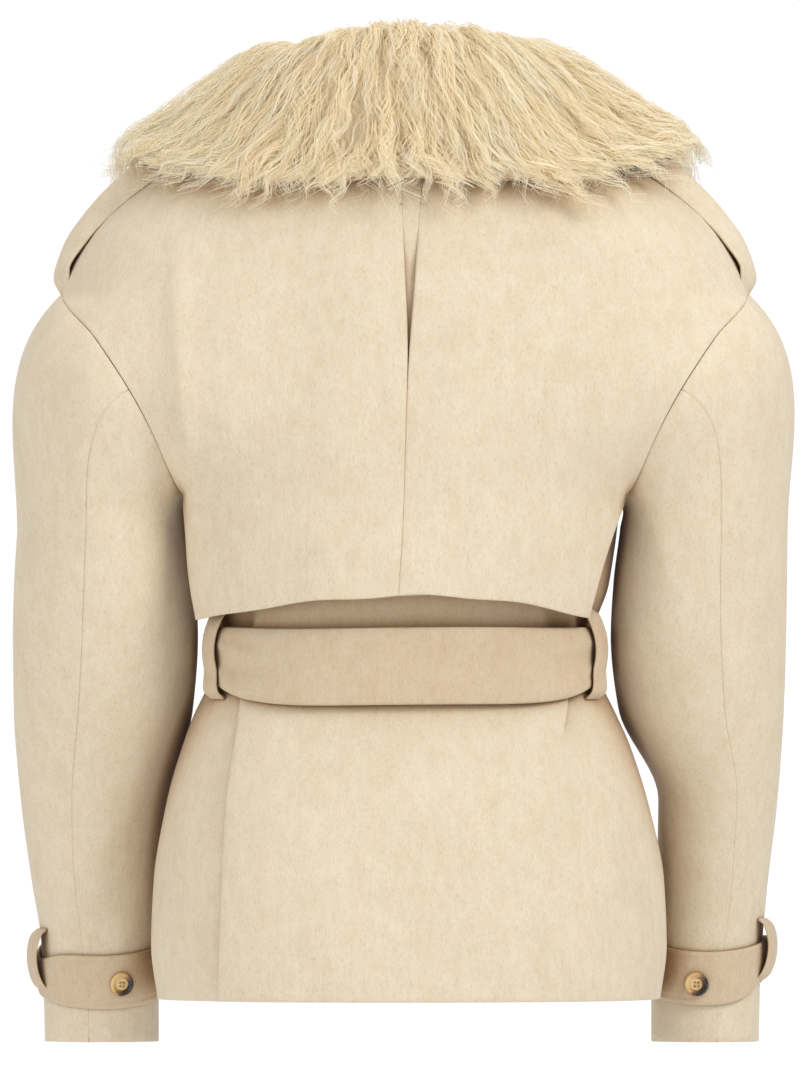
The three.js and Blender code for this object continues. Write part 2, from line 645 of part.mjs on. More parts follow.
function furCollar() {
  const outer = [];
  const inner = [];
  collarStations.forEach((at, i) => {
    const thin = 1 - 0.55 * smooth(FUR_THIN_FROM, collarEnd, Math.abs(at));
    const lock = i % 2 === 0 ? 1 : -1;
    const far = [];
    const near = [];
    for (const across of COLLAR_COLUMNS) {
      const point = collarSurface(across, at);
      const way = outward(collarSurface, across, at, 1);
      const depth = thin * (furDepth(across) + lock * FUR_LOCK_DEPTH * across);
      far.push(point.clone().addScaledVector(way, depth));
      near.push(point.clone().addScaledVector(way, LAYER_GAP));
    }
    const edge = collarSurface(1, at);
    const way = outward(collarSurface, 1, at, 1);
    const along = edge.clone().sub(collarSurface(0.98, at)).normalize();
    const reach = thin * (FUR_REACH + lock * FUR_LOCK_LENGTH);
    for (const [share, top, under] of [[0.55, 0.8, 0.1], [1, 0.42, 0.22]]) {
      const tip = edge.clone().addScaledVector(along, reach * share);
      far.push(tip.clone().addScaledVector(way, thin * furDepth(1) * top));
      near.push(tip.clone().addScaledVector(way, thin * furDepth(1) * under));
    }
    outer.push(far);
    inner.push(near);
  });
  return shell(outer, inner);
}

add('under_collar', underCollar(), wool);
add('fur_collar', furCollar(), fleece);

// The belt, lapped over itself at the middle of the front; turn is -1 and 1 there and 0 at the middle of the back
function beltPoint(turn, height, out) {
  const angle = turn * Math.PI;
  const sine = Math.sin(angle);
  const face = Math.cos(angle) >= 0 ? -1 : 1;
  const narrow = smooth(0.8, 0.97, Math.abs(sine));
  const half = THREE.MathUtils.lerp(BELT_HEIGHT, BELT_HEIGHT_AT_LOOPS, narrow) / 2;
  const z = WAIST + 7 * narrow + half * height;
  const lap = (BELT_CLOTH + LAYER_GAP) * smooth(0.74, 1 - BELT_LAP, turn);
  const ease = face < 0 ? BELT_EASE.back : BELT_EASE.front;
  const depth = (face < 0 ? body.back(z) : body.front(z)) + ease;
  return new THREE.Vector3(
    (body.halfWidth(z) + BELT_EASE.side + out + lap) * rounded(sine),
    face * (depth + out + lap) * rounded(Math.abs(Math.cos(angle))),
    z,
  );
}

function belt() {
  const rows = spread(-1 - BELT_LAP, 1 + BELT_LAP, BELT_COLUMNS);
  const grid = (out) => rows.map((turn) => [-1, 0, 1].map((height) => beltPoint(turn, height, out)));
  return shell(grid(BELT_CLOTH), grid(0));
}

add('belt', belt(), wool);

// A loop of cloth that bridges over a belt or strap, on any surface that takes an angle, a height and a distance out
function bridge(place, { across, out, top, bottom }, angle, radius) {
  const spanAngle = across / 2 / radius;
  const line = spread(0, 1, 8).map((t) => ({
    z: THREE.MathUtils.lerp(top, bottom, t),
    rise: 0.8 + out * Math.sin(Math.PI * t) ** 0.3,
  }));
  const grid = (extra) => line.map(({ z, rise }, i) => {
    const end = i === 0 || i === line.length - 1;
    const level = end && extra > 0 ? z + (i === 0 ? 1.6 : -1.6) : z;
    return spread(-spanAngle, spanAngle, 2).map((a) => place(angle + a, level, rise + extra));
  });
  return shell(grid(CLOTH), grid(0));
}

for (const [side, name] of [[-1, 'left'], [1, 'right']]) {
  const onBody = (angle, z, out) => bodyPoint(-1, side * angle, z, out + tuckRise(bodyPoint(-1, side * angle, z).x, z));
  add(`belt_loop_${name}`, bridge(onBody, BELT_LOOP, degrees(BELT_LOOP.angle), 120), wool);
}

// Cuff straps, their loops and their horn buttons
function cuffStrapPoint(side, angle, height, out) {
  const middle = CUFF_STRAP.middle - CUFF_STRAP.sag * Math.max(0, Math.sin(angle));
  return sleeveRing(side, angle, middle + (CUFF_STRAP.height / 2) * height, out);
}

function cuffStrap(side) {
  const angles = spread(degrees(CUFF_STRAP.from), degrees(CUFF_STRAP.to), CUFF_STRAP.columns);
  const grid = (out) => angles.map((angle) => [-1, 0, 1].map((height) => cuffStrapPoint(side, angle, height, out)));
  return shell(grid(CUFF_STRAP.out + STRAP_CLOTH), grid(CUFF_STRAP.out));
}

function button() {
  const radius = BUTTON_DIAMETER / 2;
  const dish = BUTTON_THICKNESS - 1.1;
  const profile = [
    [0, 0], [radius * 0.7, 0], [radius * 0.96, 0.9], [radius, 1.8], [radius * 0.95, BUTTON_THICKNESS - 0.4],
    [radius * 0.84, BUTTON_THICKNESS], [radius * 0.7, dish + 0.4], [radius * 0.5, dish], [0, dish],
  ].map(([x, y]) => new THREE.Vector2(x, y));
  return new THREE.LatheGeometry(profile, 20);
}

for (const [side, name] of [[-1, 'left'], [1, 'right']]) {
  add(`cuff_strap_${name}`, cuffStrap(side), wool);
  const onSleeve = (angle, z, out) => sleeveRing(side, angle, z, out);
  add(`cuff_loop_${name}`, bridge(onSleeve, CUFF_LOOP, degrees(CUFF_LOOP.angle), 46), wool);
  const angle = degrees(side < 0 ? CUFF_BUTTON.leftAngle : CUFF_BUTTON.rightAngle);
  const height = (CUFF_BUTTON.z - CUFF_STRAP.middle + CUFF_STRAP.sag * Math.sin(angle)) / (CUFF_STRAP.height / 2);
  const face = (round, up) => cuffStrapPoint(side, round, up, CUFF_STRAP.out + STRAP_CLOTH);
  const way = outward(face, angle, height, -side);
  const seat = face(angle, height).addScaledVector(way, SEAM);
  const mesh = add(`cuff_button_${name}`, button(), horn);
  mesh.position.copy(seat);
  mesh.quaternion.setFromUnitVectors(new THREE.Vector3(0, 1, 0), way);
}

export default coat;
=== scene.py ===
# %% [markdown]
# # A cropped wool trench coat with a fur collar
#
# The coat hangs as if someone wore it, but nobody is inside: it is a set of thin cloth shells.
# Each shell starts from a few rows of sizes in millimetres, close to those of the solid coat, and is
# drawn here much finer, with its folds, seams and nap. Everything is turned into metres only when a
# mesh is made, so the sizes stay easy to read.

# %% Load the frame
import math
from functools import partial
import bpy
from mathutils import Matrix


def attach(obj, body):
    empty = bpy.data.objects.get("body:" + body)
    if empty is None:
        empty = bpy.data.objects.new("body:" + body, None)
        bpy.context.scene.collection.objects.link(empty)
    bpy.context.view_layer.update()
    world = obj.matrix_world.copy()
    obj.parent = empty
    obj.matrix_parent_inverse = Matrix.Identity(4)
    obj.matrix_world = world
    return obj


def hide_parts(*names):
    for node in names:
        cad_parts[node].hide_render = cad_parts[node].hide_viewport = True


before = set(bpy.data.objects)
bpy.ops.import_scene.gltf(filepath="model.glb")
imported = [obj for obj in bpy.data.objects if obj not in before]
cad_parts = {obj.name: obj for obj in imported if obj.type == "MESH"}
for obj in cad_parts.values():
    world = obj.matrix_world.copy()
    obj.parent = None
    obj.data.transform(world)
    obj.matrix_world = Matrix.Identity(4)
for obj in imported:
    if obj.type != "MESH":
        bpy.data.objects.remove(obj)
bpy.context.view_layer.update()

from types import SimpleNamespace

import bpy
import numpy as np

chance = np.random.default_rng(20)
MM = 0.001
SIDES = {-1: "left", 1: "right"}

# %% [markdown]
# ## Helpers for smooth shapes
#
# A tailor's pattern gives a few measured heights and lets the cloth run smoothly between them. The
# same is done here: each table has one row for each height, and a curve that never overshoots runs
# through its columns. A spline from Blender's curve tools could do it too, but a function is easier
# to ask for a value at any height.

# %% Curves through a table
def smooth_curve(keys, values):
    rises = np.diff(values) / np.diff(keys)
    before = np.concatenate((rises[:1], rises))
    after = np.concatenate((rises, rises[-1:]))
    turning = before * after <= 0
    slopes = np.where(turning, 0, 2 * before * after / np.where(turning, 1, before + after))

    def value_at(at):
        at = np.clip(at, keys[0], keys[-1])
        i = np.clip(np.searchsorted(keys, at) - 1, 0, len(keys) - 2)
        width = keys[i + 1] - keys[i]
        t = (at - keys[i]) / width
        rest = 1 - t
        line = values[i] * rest * rest * (1 + 2 * t) + values[i + 1] * t * t * (3 - 2 * t)
        return line + width * t * rest * (slopes[i] * rest - slopes[i + 1] * t)

    return value_at


def curves(names, *rows):
    columns = np.array(sorted(rows), float).T
    return SimpleNamespace(
        **{name: smooth_curve(columns[0], column) for name, column in zip(names.split()[1:], columns[1:])}
    )


def smooth(low, high, value):
    t = np.clip((value - low) / (high - low), 0, 1)
    return t * t * (3 - 2 * t)


def unit(vectors):
    return vectors / np.maximum(np.linalg.norm(vectors, axis=-1, keepdims=True), 1e-9)


def point(x, y, z):
    return np.stack(np.broadcast_arrays(x, y, z), axis=-1).astype(float)


def mix(a, b, share):
    return a + (b - a) * share


# %% [markdown]
# ## From a grid of points to a sheet of cloth
#
# Cloth is a thin wall with soft, rounded edges. A Solidify modifier would give it a thickness, but
# square edges. Here the wall is made from the grid of its outer face: the inner face is the same
# grid moved in, and a half-round rim joins the two all the way round.

# %% Meshes from grids
def make_piece(name, points, faces, finish, closed=True):
    """An object from points in millimetres and four-cornered faces."""
    points = np.asarray(points, np.float64).reshape(-1, 3) * MM
    faces = np.asarray(faces, np.int64).reshape(-1, 4)
    if closed:
        a, b, c, d = (points[faces[:, k]] for k in range(4))
        volume = (a * np.cross(b, c)).sum() + (a * np.cross(c, d)).sum()
        if volume < 0:
            faces = faces[:, ::-1]
    mesh = bpy.data.meshes.new(name)
    mesh.vertices.add(len(points))
    mesh.vertices.foreach_set("co", points.astype(np.float32).ravel())
    mesh.loops.add(faces.size)
    mesh.loops.foreach_set("vertex_index", faces.astype(np.int32).ravel())
    mesh.polygons.add(len(faces))
    mesh.polygons.foreach_set("loop_start", np.arange(0, faces.size, 4, dtype=np.int32))
    mesh.update(calc_edges=True)
    mesh.validate()
    mesh.shade_smooth()
    mesh.materials.append(finish)
    obj = bpy.data.objects.new(name, mesh)
    bpy.context.scene.collection.objects.link(obj)
    return obj


def paint(obj, name, values):
    """Write a value at each point of a mesh."""
    attribute = obj.data.attributes.new(name, "FLOAT", "POINT")
    attribute.data.foreach_set("value", np.asarray(values, np.float32))


def grid_faces(rows, columns, start=0, wrap=False):
    i, j = np.meshgrid(np.arange(rows - 1), np.arange(columns if wrap else columns - 1), indexing="ij")
    right = (j + 1) % columns
    corners = (i * columns + j, i * columns + right, (i + 1) * columns + right, (i + 1) * columns + j)
    return np.stack(corners, axis=-1).reshape(-1, 4) + start


def way_out(points, side):
    """The direction out of the face of a grid, at each of its points."""
    return side * unit(np.cross(np.gradient(points, axis=1), np.gradient(points, axis=0)))


def border(rows, columns):
    """Rows and columns of the points round a grid's border, in order."""
    down, along = np.arange(1, rows), np.arange(columns)
    i = np.concatenate((0 * along, down, 0 * along[1:] + rows - 1, down[-2::-1]))
    j = np.concatenate((along, 0 * down + columns - 1, along[-2::-1], 0 * down[1:]))
    return i, j


RIM_STEPS = 3


def cloth(name, outer, inner, finish, bulge=1.0):
    """A sheet of cloth with rounded edges, from the grids of its outer and inner face."""
    rows, columns = outer.shape[:2]
    i, j = border(rows, columns)
    middle = (outer[i, j] + inner[i, j]) / 2
    half = (outer[i, j] - inner[i, j]) / 2
    way = unit(half)
    away = outer[i, j] - outer[np.clip(i, 1, rows - 2), np.clip(j, 1, columns - 2)]
    away = unit(away - way * (away * way).sum(axis=-1, keepdims=True))
    reach = bulge * np.linalg.norm(half, axis=-1, keepdims=True)
    rings = []
    for turn in np.linspace(0, math.pi, RIM_STEPS + 2)[1:-1]:
        rings.append(middle + half * math.cos(turn) + away * reach * math.sin(turn))
    count = rows * columns
    loops = [i * columns + j]
    loops += [2 * count + k * len(i) + np.arange(len(i)) for k in range(RIM_STEPS)]
    loops.append(count + i * columns + j)
    faces = [grid_faces(rows, columns)[:, ::-1], grid_faces(rows, columns, count)]
    for first, second in zip(loops, loops[1:]):
        faces.append(np.stack((first, np.roll(first, -1), np.roll(second, -1), second), axis=-1))
    points = np.concatenate([outer.reshape(-1, 3), inner.reshape(-1, 3), *rings])
    return make_piece(name, points, np.concatenate(faces), finish)


# %% [markdown]
# ## Creases placed one by one
#
# A fold in worn cloth is a long soft ridge. Each one is a line on the piece, with a width and a
# height of its own, which fades out towards its ends. A cloth simulation would put folds wherever it
# liked. The real coat has them in known places, so they are listed instead.

# %% Creases
def creases(u, v, lines):
    """How far ridges lift the cloth at (u, v). A line is u, v at each end, a width and a height."""
    lift = np.zeros(np.broadcast(u, v).shape)
    for u0, v0, u1, v1, width, height in lines:
        du, dv = u1 - u0, v1 - v0
        length = math.hypot(du, dv)
        along = ((u - u0) * du + (v - v0) * dv) / length
        off = ((u - u0) * dv - (v - v0) * du) / length
        share = np.clip(along / length, 0, 1)
        past = np.abs(along - share * length)
        fade = np.sin(np.pi * (0.12 + 0.76 * share)) * np.exp(-((past / width) ** 2) / 2)
        lift = lift + height * fade * np.exp(-((off / width) ** 2))
    return lift


# %% [markdown]
# ## Wool, fur and horn
#
# The cloth is brushed wool: cream, with a scatter of fine grey-brown hairs and a nap that runs down.
# From the object's own coordinates, one noise drawn out along the height gives the hairs, one broad
# noise gives the slight cloudiness, and fine ones raise the nap. Sheen gives the pale bloom that wool
# has at its edges. A woven pattern would be wrong here, because the nap hides the weave. Shade is
# painted into the colour too: an occlusion node darkens and warms it in hollows and between parts.

# %% The wool
def named_node(tree, kind, **values):
    node = tree.nodes.new(kind)
    for key, value in values.items():
        if key in node.inputs:
            node.inputs[key].default_value = value
        else:
            setattr(node, key, value)
    return node


def new_material(name, inputs):
    material = bpy.data.materials.new(name)
    material.use_nodes = True
    shader = material.node_tree.nodes["Principled BSDF"]
    for key, value in inputs.items():
        shader.inputs[key].default_value = value
    return material, material.node_tree, shader


def noise(tree, place, scale, detail, upright=1):
    """Noise in the object's own coordinates. Where upright is under 1, it is drawn out along the height."""
    mapping = named_node(tree, "ShaderNodeMapping", Scale=(1, 1, upright))
    tree.links.new(place.outputs["Object"], mapping.inputs["Vector"])
    node = named_node(tree, "ShaderNodeTexNoise", Scale=scale, Detail=detail, Roughness=0.6)
    tree.links.new(mapping.outputs["Vector"], node.inputs["Vector"])
    return node.outputs["Fac"]


def ramp(tree, factor, *stops):
    node = named_node(tree, "ShaderNodeValToRGB")
    node.color_ramp.elements[0].position = stops[0][0]
    node.color_ramp.elements[1].position = stops[-1][0]
    for position, _ in stops[1:-1]:
        node.color_ramp.elements.new(position)
    for element, (_, shade) in zip(node.color_ramp.elements, stops):
        element.color = (*shade, 1)
    tree.links.new(factor, node.inputs["Fac"])
    return node.outputs["Color"]


def blended(tree, kind, share, first, second):
    node = named_node(tree, "ShaderNodeMix", data_type="RGBA", blend_type=kind)
    node.inputs[0].default_value = share
    tree.links.new(first, node.inputs[6])
    tree.links.new(second, node.inputs[7])
    return node.outputs[2]


def paint_hollow_shade(tree, base, shader, reach, dark, half_lit, lit):
    """Painted shade: an occlusion node darkens and warms the base colour in hollows and between parts, as
    light there has bounced off cream wool many times.
    """
    open_sky = named_node(tree, "ShaderNodeAmbientOcclusion", samples=6, Distance=reach)
    tint = ramp(tree, open_sky.outputs["AO"], (dark, (0.34, 0.21, 0.12)), (half_lit, (0.76, 0.63, 0.49)),
                (lit, (1, 1, 1)))
    tree.links.new(blended(tree, "MULTIPLY", 1, base, tint), shader.inputs["Base Color"])


# Patches in the wool: share, noise's scale, detail and height, where they start and end, tint
WOOL_PATCHES = [
    (1, 26, 3, 0.6, 0.32, 0.68, (0.955, 0.94, 0.92)),
    (0.8, 210, 3, 0.2, 0.3, 0.62, (0.95, 0.945, 0.94)),
    (0.9, 95, 6, 0.7, 0.36, 0.62, (0.965, 0.935, 0.89)),
]
# The nap: noise's scale and detail, strength, height in metres
WOOL_NAP = [(150, 3, 0.3, 0.0016), (900, 5, 0.35, 0.0006)]


def wool(name, shade, reach=0.035, hollows=(0.08, 0.42, 0.72)):
    material, tree, shader = new_material(name, {
        "Sheen Weight": 0.25, "Sheen Roughness": 0.5, "Sheen Tint": (1, 0.95, 0.88, 1),
        "Specular IOR Level": 0.15,
    })
    place = named_node(tree, "ShaderNodeTexCoord")
    cream = np.array(shade)
    hairs = noise(tree, place, 800, 4, 0.4)
    base = ramp(tree, hairs, (0.28, cream * (0.84, 0.82, 0.8)), (0.45, cream * (0.97, 0.965, 0.96)),
                (0.6, cream), (0.78, np.minimum(cream * 1.05, 1)))
    for share, scale, detail, upright, start, end, tint in WOOL_PATCHES:
        patches = ramp(tree, noise(tree, place, scale, detail, upright), (start, tint), (end, (1, 1, 1)))
        base = blended(tree, "MULTIPLY", share, base, patches)
    # Painted shade: the base colour is darkened and warmed in hollows, over the given reach.
    paint_hollow_shade(tree, base, shader, reach, *hollows)
    target = shader
    for scale, detail, strength, height in reversed(WOOL_NAP):
        bump = named_node(tree, "ShaderNodeBump", Strength=strength, Distance=height)
        tree.links.new(noise(tree, place, scale, detail, 0.5), bump.inputs["Height"])
        tree.links.new(bump.outputs["Normal"], target.inputs["Normal"])
        target = bump
    rough = named_node(tree, "ShaderNodeMapRange", **{"To Min": 0.82, "To Max": 1})
    tree.links.new(hairs, rough.inputs["Value"])
    tree.links.new(rough.outputs["Result"], shader.inputs["Roughness"])
    return material


WOOL_SHADE = (0.80, 0.695, 0.53)
WOOL_LOOK = wool("cream brushed wool", WOOL_SHADE)
# Painted shade: the back's copy darkens farther and deeper, so the strip under the flap and round the belt
# is painted dark and warm.
BACK_PAINTED_SHADE_LOOK = wool("cream wool, back", WOOL_SHADE, reach=0.075, hollows=(0.24, 0.62, 0.9))
# Painted shade: the sleeves' copy darkens only close hollows, so the hollow between arm and body is painted
# less dark.
SLEEVE_LOOK = wool("cream wool, sleeves", WOOL_SHADE, reach=0.014)
# Painted shade: the trimmings are the same wool painted darker and warmer, for the shade that falls on
# belt, loops, cuff straps and under collar.
TRIM_SHADED_LOOK = wool("cream wool, trimmings", np.array(WOOL_SHADE) * (0.86, 0.80, 0.745))
print("wool:", [look.name for look in (WOOL_LOOK, BACK_PAINTED_SHADE_LOOK, SLEEVE_LOOK, TRIM_SHADED_LOOK)])

# %% [markdown]
# The fur takes its colour from a value painted on each hair as it is made: darker and warmer at the
# skin, paler at the tip, and a little different from hair to hair. Hair lets light through, so part
# of the light goes on to the locks below. Without that the fur would look like wire.

# %% The fur
FUR_ROOT = (0.90, 0.73, 0.48)
FUR_MIDDLE = (1.0, 0.90, 0.69)
FUR_TIP = (1.0, 0.96, 0.83)


def fur(name):
    material, tree, shader = new_material(name, {"Roughness": 0.6, "Specular IOR Level": 0.2})
    painted = named_node(tree, "ShaderNodeAttribute", attribute_name="hair shade")
    colour = ramp(tree, painted.outputs["Fac"], (0, FUR_ROOT), (0.4, FUR_MIDDLE), (1, FUR_TIP))
    tree.links.new(colour, shader.inputs["Base Color"])
    through = named_node(tree, "ShaderNodeBsdfTranslucent")
    tree.links.new(colour, through.inputs["Color"])
    both = named_node(tree, "ShaderNodeMixShader", Fac=0.5)
    tree.links.new(shader.outputs["BSDF"], both.inputs[1])
    tree.links.new(through.outputs["BSDF"], both.inputs[2])
    tree.links.new(both.outputs["Shader"], tree.nodes["Material Output"].inputs["Surface"])
    return material


FUR_LOOK = fur("straw cream lamb fur")

# %% [markdown]
# The buttons are polished horn: honey with a near-black patch to one side, and drawn-out streaks.

# %% The horn
def horn(name, grain_share):
    material, tree, shader = new_material(name, {
        "Roughness": 0.22, "Coat Weight": 0.4, "Coat Roughness": 0.08,
    })
    place = named_node(tree, "ShaderNodeAttribute", attribute_name="horn patch")
    grain = noise(tree, named_node(tree, "ShaderNodeTexCoord"), 330, 4, 2.4)
    added = named_node(tree, "ShaderNodeMath", operation="MULTIPLY_ADD")
    added.inputs[1].default_value = grain_share
    tree.links.new(grain, added.inputs[0])
    tree.links.new(place.outputs["Fac"], added.inputs[2])
    colour = ramp(tree, added.outputs[0], (0.28, (0.80, 0.56, 0.25)), (0.5, (0.62, 0.37, 0.12)),
                  (0.66, (0.20, 0.09, 0.03)), (0.78, (0.02, 0.012, 0.008)))
    tree.links.new(colour, shader.inputs["Base Color"])
    return material


HORN_LOOK = horn("honey horn", 0.35)

# %% [markdown]
# ## The sizes of the coat
#
# These rows follow those of the solid coat, some of them set a few millimetres nearer to the photo:
# here the body, its tucks and the front edges, and further down the flap, sleeves and collar. The
# back of the coat faces -Y, and the wearer's left is -X.

# %% The body's sizes
CLOTH, FLAP_CLOTH, STRAP_CLOTH, BELT_CLOTH = 2.4, 2.2, 3, 4.4
SEAM, LAYER_GAP = 0.3, 0.4
SHOULDER_TIP, UNDERARM, HEM = -150, -311, -691
ROUNDNESS = 2.2
ARMHOLE_DEPTH, ARMHOLE_FULLNESS = 95, 0.95
EDGE_INSET = 0.9

body = curves(
    "z half_width back front shift",
    (0, 75, 62, 60, 0), (-19, 110, 74, 72, 0), (-42, 154, 86, 84, 0), (-74, 204, 98, 97, 0),
    (-95, 229, 105, 104, 0), (-120, 248, 111, 111, 0), (-137, 257, 114, 114, 0),
    (-150, 261, 117, 116, 0), (-183, 237, 121, 121, 0), (-220, 213, 125, 126, 0),
    (-254, 194, 127, 129, 0), (-293, 176, 127, 129, 0), (-311, 166, 126, 127, 0),
    (-345, 161, 120, 120, 0), (-375, 156, 113, 113, 0), (-405, 146, 106, 105, 0), (-435, 144, 104, 103, 0),
    (-458, 155, 106, 105, 0), (-470, 161, 109, 108, 0), (-497, 172, 118, 117, 1), (-545, 186, 133, 131, 2),
    (-600, 196, 143, 141, 3), (-650, 198, 148, 146, 3), (-691, 193, 150, 148, 3),
)
tucks = curves(
    "z left left_rise right right_rise",
    (0, 40, 0, 38, 0), (-95, 110, 0, 104, 0), (-330, 114, 0, 107, 0), (-385, 115, 4.5, 108, 4),
    (-462, 121, 5.5, 120, 5), (-540, 132, 8, 130, 4), (-600, 136, 8.5, 134, 1), (-691, 139, 8.5, 138, 0),
)
front_edge = curves(
    "z inset",
    (0, 75), (-30, 69), (-90, 54), (-150, 31), (-200, 8), (-235, -22), (-265, -50), (-691, -50),
)
ARMHOLE_MIDDLE = (SHOULDER_TIP + UNDERARM) / 2
ARMHOLE_HALF = (SHOULDER_TIP - UNDERARM) / 2


def rounded(value):
    return np.sign(value) * np.abs(value) ** (2 / ROUNDNESS)


def angle_from_depth(depth, half_depth):
    return np.arccos(np.clip(depth / half_depth, 0, 1) ** (ROUNDNESS / 2))


def angle_from_width(x, half_width):
    return np.sign(x) * np.arcsin(np.clip(np.abs(x) / half_width, 0, 1) ** (ROUNDNESS / 2))


def armhole_back(z):
    cosine = np.clip((z - ARMHOLE_MIDDLE) / ARMHOLE_HALF, -1, 1)
    return ARMHOLE_DEPTH * (1 - cosine * cosine) ** (ARMHOLE_FULLNESS / 2)


def body_section(z, face):
    """Depth of the back (face -1) or front (1), the angle at which it ends, the oval's half width."""
    depth = np.where(np.asarray(face) < 0, body.back(z), body.front(z))
    end = angle_from_depth(armhole_back(z), depth)
    return depth, end, body.half_width(z) / rounded(np.sin(end))


def body_point(face, angle, z, out=0):
    depth, _, half_width = body_section(z, face)
    return point(
        body.shift(z) + (half_width + out) * rounded(np.sin(angle)),
        face * (depth + out) * rounded(np.cos(angle)),
        z,
    )


def armhole_way(angle, face, side):
    """The direction that the walls of body and sleeve share at the armhole seam."""
    cosine = np.cos(angle)
    top, bottom = np.maximum(cosine, 0), np.maximum(-cosine, 0)
    return unit(point(side * (0.93 * top - 0.1 * bottom), face * np.sin(angle), 0.36 * top - bottom))


def body_levels(top, over, armhole, below):
    """Heights of a panel's rows, from its top to the hem, closer together round the armhole."""
    return np.concatenate((
        np.linspace(top, SHOULDER_TIP, over)[:-1],
        ARMHOLE_MIDDLE + ARMHOLE_HALF * np.cos(np.linspace(0, math.pi, armhole)),
        np.linspace(UNDERARM, HEM + CLOTH / 2, below)[1:],
    ))


def seam_way(points, angle, z, face, side):
    """The way out of a body panel, turned to the shared direction of the armhole seam at its edge."""
    _, end, _ = body_section(z, face)
    cosine = (z - ARMHOLE_MIDDLE) / ARMHOLE_HALF
    at_edge = smooth(0.9, 0.99, np.abs(angle) / end) * (np.abs(cosine) <= 1)
    shared = armhole_way(np.arccos(np.clip(cosine, -1, 1)), face, np.sign(angle))
    return unit(mix(way_out(points, side), shared, at_edge[..., None]))


print("armhole:", ARMHOLE_HALF * 2, "mm high; hem", round(float(2 * body.half_width(HEM))), "mm across")

# %% [markdown]
# ## The back
#
# The back is one panel from the shoulders to the hem. A tuck on each side takes the width in at the
# waist. On the left the tuck stays sharp all the way to the hem, a true pleat: the middle of the
# cloth lies over its side, doubled under itself. On the right it is pressed only under the belt and
# fades into a soft fold.

# %% The tucks
TUCK_UNDER, TUCK_BEND = 11, 0.15
FOLD_LAYERS = 17
TUCK_REACH = (14, -12)


def tuck_line(z, side):
    """Across one tuck: distance from the fold towards the middle of the back, and height."""
    if side < 0:
        rise, fold, spread_out = tucks.left_rise(z), 1 - smooth(-430, -385, z), 1
    else:
        rise, fold = tucks.right_rise(z), (1 - smooth(-440, -400, z)) * smooth(-500, -458, z)
        spread_out = mix(1, 24 / 7, 1 - smooth(-560, -455, z))
    t = np.linspace(0, 1, FOLD_LAYERS)
    under = TUCK_UNDER * fold
    turn = np.linspace(math.pi / 2, -math.pi / 2, 5)
    outer_radius = np.clip(rise * 0.47, 0.2, CLOTH + 0.1)
    outer_x = -outer_radius * np.cos(turn)
    outer_y = rise - outer_radius + outer_radius * np.sin(turn)
    inner_x = under + TUCK_BEND * np.cos(turn)
    inner_y = rise - 2 * outer_radius - TUCK_BEND + TUCK_BEND * np.sin(turn)
    low_y = rise - 2 * outer_radius - 2 * TUCK_BEND
    folded_x = np.concatenate((np.linspace(14, 4, 3), outer_x, inner_x, np.linspace(2, -12, 4)))
    folded_y = np.concatenate((np.full(3, rise), outer_y, inner_y, low_y * np.linspace(0.95, 0.4, 4)))
    flat_x = np.linspace(*TUCK_REACH, FOLD_LAYERS) * spread_out
    flat_y = rise * (1 - smooth(0.25, 0.75, t))
    return mix(flat_x, folded_x, fold), mix(flat_y, folded_y, fold)


# Creases on the back, seen from behind: x and z of each end, width, height
BACK_CREASES = [
    (101, -478, 59, -530, 9, 1.8),
    (-88, -500, -60, -542, 9, 1.6),
    (30, -472, 24, -560, 12, 0.9),
    (-40, -474, -34, -540, 14, 0.8),
    (150, -500, 161, -640, 14, 2.4),
    (-168, -520, -171, -660, 12, 1.8),
    (62, -610, 66, -700, 20, 1.8),
    (-52, -600, -60, -700, 22, 1.6),
]


SIDE_COLUMNS, MIDDLE_COLUMNS = 24, 54


def back_row(z):
    """Angle and height of each point across the back, at one height."""
    _, end, half_width = body_section(z, -1)
    last = end - EDGE_INSET / body.back(z)
    left_x, left_y = tuck_line(z, -1)
    right_x, right_y = tuck_line(z, 1)
    left_fold = -tucks.left(z) + left_x
    right_fold = tucks.right(z) - right_x
    limit = body.half_width(z) - 4
    left_angle = angle_from_width(np.maximum(left_fold, -limit), half_width)[::-1]
    right_angle = angle_from_width(np.minimum(right_fold, limit), half_width)
    ease = np.linspace(0, 1, MIDDLE_COLUMNS)[1:-1]
    aside = np.linspace(0, 1, SIDE_COLUMNS)[:-1]
    middle = angle_from_width(np.linspace(left_fold[0], right_fold[0], MIDDLE_COLUMNS)[1:-1], half_width)
    left_side = np.linspace(-last, left_angle[0], SIDE_COLUMNS)[:-1]
    right_side = np.linspace(right_angle[-1], last, SIDE_COLUMNS)[1:]
    heights = np.concatenate((left_y[-1] * aside, left_y[::-1], mix(left_y[0], right_y[0], ease),
                              right_y, right_y[-1] * aside[::-1]))
    return np.concatenate((left_side, left_angle, middle, right_angle, right_side)), heights


back_z = body_levels(-CLOTH / 2, 16, 26, 92)
rows = [back_row(z) for z in back_z]
angle = np.array([row[0] for row in rows])
height = np.array([row[1] for row in rows])
level = np.broadcast_to(back_z[:, None], angle.shape)
plain = body_point(-1, angle, level)
height = height + creases(plain[..., 0], level, BACK_CREASES)
outer = body_point(-1, angle, level, height)
inner = outer - seam_way(outer, angle, level, -1, -1) * CLOTH
back = cloth("back_cloth", outer, inner, BACK_PAINTED_SHADE_LOOK)
print("back:", len(back.data.polygons), "faces")

# %% [markdown]
# ## The fronts
#
# The photo shows the back alone, so the fronts are plain: they follow a V from the neck, lap right
# over left below it, and are held shut by the belt.

# %% The fronts
TURN_IN_START, TURN_IN_END = 62, 100

# Creases on the fronts, x from the middle out and z of each end, width, height
FRONT_CREASES = {
    -1: [(70, -470, 90, -600, 12, 1.8), (120, -480, 128, -650, 13, 2), (40, -395, 95, -340, 10, 1.2)],
    1: [(30, -470, 42, -590, 12, 1.8), (95, -474, 104, -640, 14, 2.2), (60, -395, 110, -330, 11, 1.3)],
}


